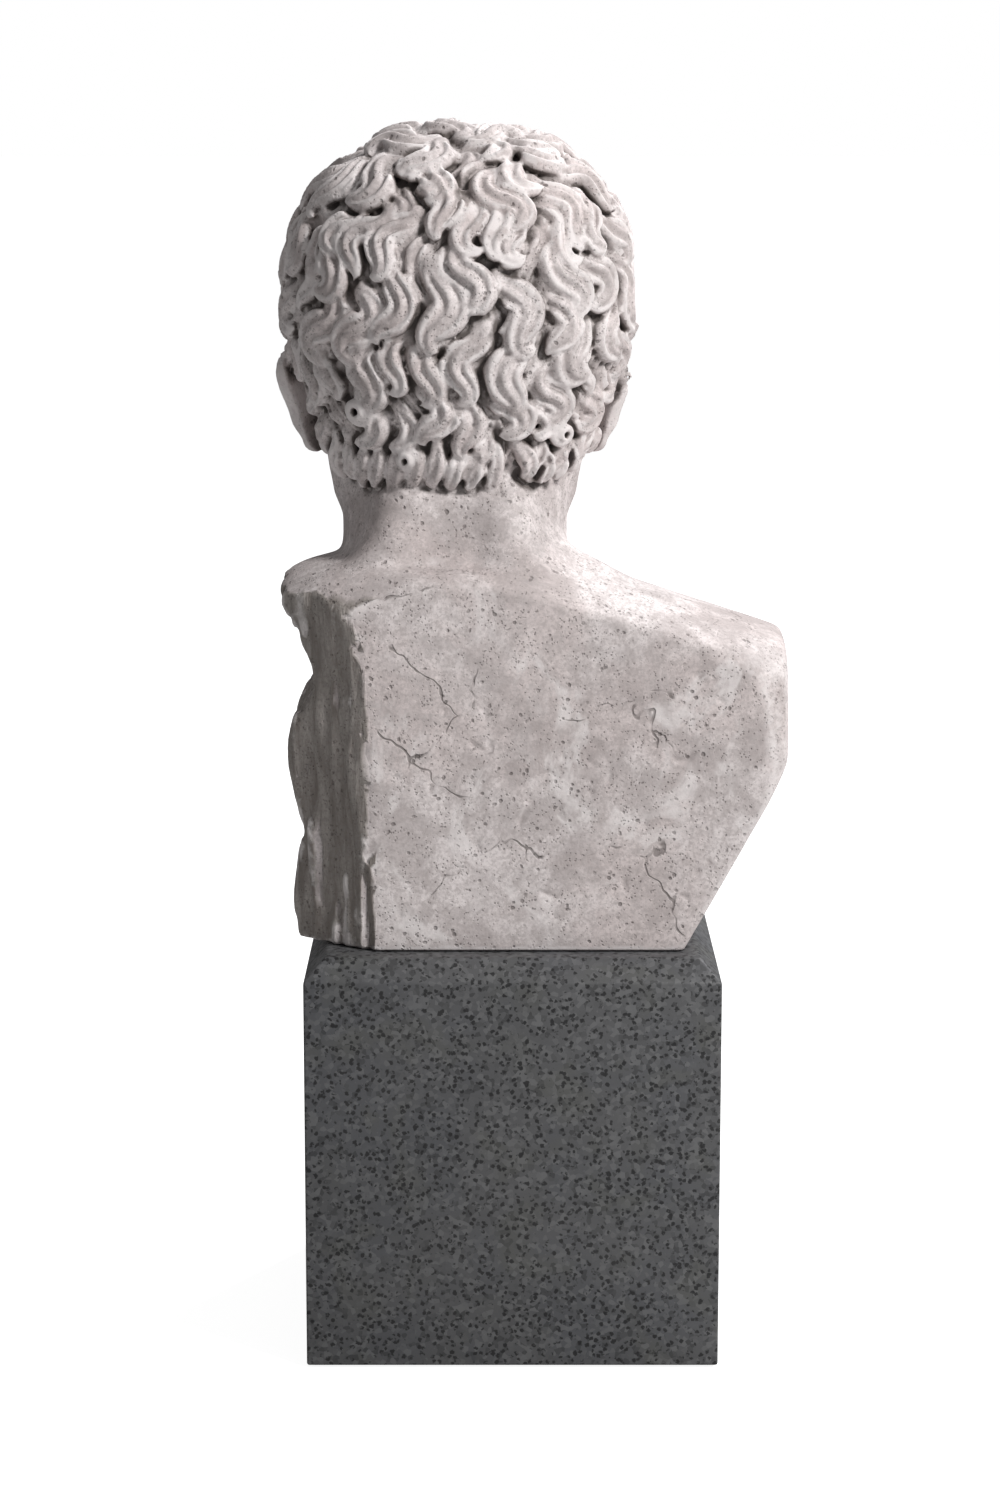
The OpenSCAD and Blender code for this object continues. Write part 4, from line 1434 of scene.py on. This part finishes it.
def studPiece():
    low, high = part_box("stud")
    z0, z1, r = low.z / millimetre, high.z / millimetre, high.x / millimetre
    s = studSizes
    core = r - s["depth"]
    # plain shank between and above the threads, thinner under them
    profile = [(0, z0), (core - 1.4, z0), (core, z0 + 1.4), (core, s["lowerEnd"]),
               (r, s["lowerEnd"] + 1.5), (r, s["upperStart"] - 1.5), (core, s["upperStart"]),
               (core, s["upperEnd"]), (r, s["upperEnd"] + 1.2), (r, z1 - 2.2), (r - 0.4, z1 - 1.2),
               (r - 1.2, z1 - 0.4), (r - 2.2, z1), (0, z1)]
    piece = turnedPiece("threadedStud", profile)
    parts = [piece]
    tree, sizes = threadTree()
    for start, end in ((z0 + 1.6, s["lowerEnd"]), (s["upperStart"], s["upperEnd"])):
        holder = meshObject("thread", [], [])
        layer = holder.modifiers.new("thread", "NODES")
        layer.node_group = tree
        values = {"Crest radius": (r - 0.03) * millimetre, "Depth": s["depth"] * millimetre,
                  "Pitch": s["pitch"] * millimetre, "Turns": (end - start) / s["pitch"],
                  "Start height": start * millimetre, "Points per turn": s["pointsPerTurn"]}
        for name, value in values.items():
            layer[sizes[name]] = value
        layer[sizes["Material"]] = materials["stainless"]
        plainMesh(holder)
        parts.append(holder)
    joined = bmesh.new()
    for part in parts:
        joined.from_mesh(part.data)
    bmesh.ops.recalc_face_normals(joined, faces=joined.faces)
    joined.to_mesh(piece.data)
    joined.free()
    for part in parts[1:]:
        bpy.data.objects.remove(part)
    return piece


nutSizes = {"bore": 8.1, "edge": 0.965, "slope": 1.75, "steps": 72}


def hexNut(name, node):
    # six flats, with both ends turned to a cone
    low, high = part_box(node)
    z0, z1 = low.z / millimetre, high.z / millimetre
    flat = (high.y - low.y) / 2 / millimetre
    hole, steps = nutSizes["bore"], nutSizes["steps"]
    rows = [z0, z0 + 0.35, z0 + 0.8, z0 + 1.5, z1 - 1.5, z1 - 0.8, z1 - 0.35, z1]
    points = []
    for k in range(steps):
        a = 2 * math.pi * k / steps
        side = ((a + math.pi / 6) % (math.pi / 3)) - math.pi / 6
        corner = flat / math.cos(side)
        ring = [(hole, z1), (hole, z0), (hole + 0.01, z0)]
        cone = [flat * nutSizes["edge"] + min(z - z0, z1 - z) * nutSizes["slope"] for z in rows]
        ring += [(min(corner, c), z) for c, z in zip(cone, rows)]
        points += ringPoints(ring, a)
    piece = meshObject(name, points, ringFaces(steps, len(ring)))
    recalculateNormals(piece)
    shadeByAngle(piece, 25)
    return piece


# the CAD pieces that stay, and their finishes
kept = {
    "felt_lining": "felt", "stud_grout": "grout", "upper_washer": "stainless",
    "plate_washer": "stainless", "spring_washer": "spring_steel", "slip_disc": "slip_plastic",
    "socket_sleeve": "stainless", "sleeve_plug": "stainless", "socket_resin": "resin",
}
for node, finishName in kept.items():
    piece = bpy.data.objects[node]
    if piece.data.materials:
        for i in range(len(piece.data.materials)):
            piece.data.materials[i] = materials[finishName]
    else:
        piece.data.materials.append(materials[finishName])

coat(granite, materials["granite"])
stud = studPiece()
coat(stud, materials["stainless"])
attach(stud, "plinth")
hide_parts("stud")
for name, node in (("jamNut", "jam_nut"), ("lowerNut", "lower_nut")):
    nut = hexNut(name, node)
    coat(nut, materials["stainless"])
    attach(nut, "plinth")
    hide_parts(node)
print("stud and nuts")

size = bust["voxel"]
grid = carveBust(size, bust["seed"])
stone = bustMesh(grid)
surfaceFacts(stone, grid)
coat(stone, materials["marble"])
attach(stone, "bust")
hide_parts("bust")
del grid
print("bust done")

# floor, light and camera
studio = {
    "floor": (0.50, 0.50, 0.498), "floorRadius": 40.0, "floorGlow": 0.91, "sky": 0.19,
    # lights: place, aim, power, size, colour
    "key": ((-1.97, 1.73, 2.24), (0.0, 0.0, 0.42), 89.0, 0.55, (1.0, 0.995, 0.985)),
    "front": ((-1.25, -1.9, 2.75), (0.0, 0.0, 0.45), 74.0, 0.6, (0.985, 0.99, 1.0)),
    "top": ((0.1, 0.3, 2.6), (0.0, 0.0, 0.45), 2.0, 1.0, (1.0, 1.0, 1.0)),
    "cameraPlace": (0.0066, 1.892, 0.6680), "cameraTilt": -10.53, "cameraTurn": 180.0, "lens": 84.0,
}


def floorPiece():
    n, radius = 96, studio["floorRadius"]
    angles = [2 * math.pi * k / n for k in range(n)]
    ring = [(radius * math.cos(a), radius * math.sin(a), 0.0) for a in angles]
    floor = meshObject("studioFloor", ring, [list(range(n))], smooth=False)
    m = newMaterial("paleFloor")
    cloud = between(m, noise(m, 300, 3, 0.5), 0.3, 0.7, 0.0, 0.05)
    colour = blend(m, cloud, studio["floor"], (0.88, 0.88, 0.88))
    finish(m, colour, between(m, noise(m, 20, 3, 0.5), 0.3, 0.7, 0.80, 0.9))
    m["shader"].inputs["Emission Color"].default_value = (1.0, 1.0, 1.0, 1.0)
    # bright to look at, but it does not light the stone from below
    path = m["nodes"].new("ShaderNodeLightPath")
    glow = times(m, path.outputs["Is Camera Ray"], studio["floorGlow"])
    feed(m, glow, m["shader"].inputs["Emission Strength"])
    floor.data.materials.append(m["material"])


def areaLight(name, spot, aim, power, width, colour):
    light = bpy.data.lights.new(name, "AREA")
    light.energy, light.size, light.color = power, width, colour
    lamp = bpy.data.objects.new(name, light)
    lamp.location = spot
    lamp.rotation_euler = (Vector(aim) - Vector(spot)).to_track_quat("-Z", "Y").to_euler()
    scene.collection.objects.link(lamp)


def studioWorld():
    # white behind the object, softer where it lights it
    world = bpy.data.worlds.new("studio")
    scene.world = world
    world.use_nodes = True
    nodes, links = world.node_tree.nodes, world.node_tree.links
    nodes.clear()
    out = nodes.new("ShaderNodeOutputWorld")
    both = nodes.new("ShaderNodeMixShader")
    path = nodes.new("ShaderNodeLightPath")
    soft, white = nodes.new("ShaderNodeBackground"), nodes.new("ShaderNodeBackground")
    soft.inputs["Color"].default_value = white.inputs["Color"].default_value = (1.0, 1.0, 1.0, 1.0)
    soft.inputs["Strength"].default_value = studio["sky"]
    white.inputs["Strength"].default_value = 1.0
    links.new(path.outputs["Is Camera Ray"], both.inputs[0])
    links.new(soft.outputs[0], both.inputs[1])
    links.new(white.outputs[0], both.inputs[2])
    links.new(both.outputs[0], out.inputs[0])


floorPiece()
studioWorld()
for name in ("key", "front", "top"):
    areaLight(name + "Light", *studio[name])

lens = bpy.data.cameras.new("camera")
lens.lens, lens.sensor_width = studio["lens"], 36.0
lens.sensor_fit = "AUTO"
camera = bpy.data.objects.new("camera", lens)
camera.location = studio["cameraPlace"]
tilt, turn = math.radians(90 + studio["cameraTilt"]), math.radians(studio["cameraTurn"])
camera.rotation_euler = (tilt, 0.0, turn)
scene.collection.objects.link(camera)
scene.camera = camera
scene.view_settings.view_transform = "Standard"
print("stage set")
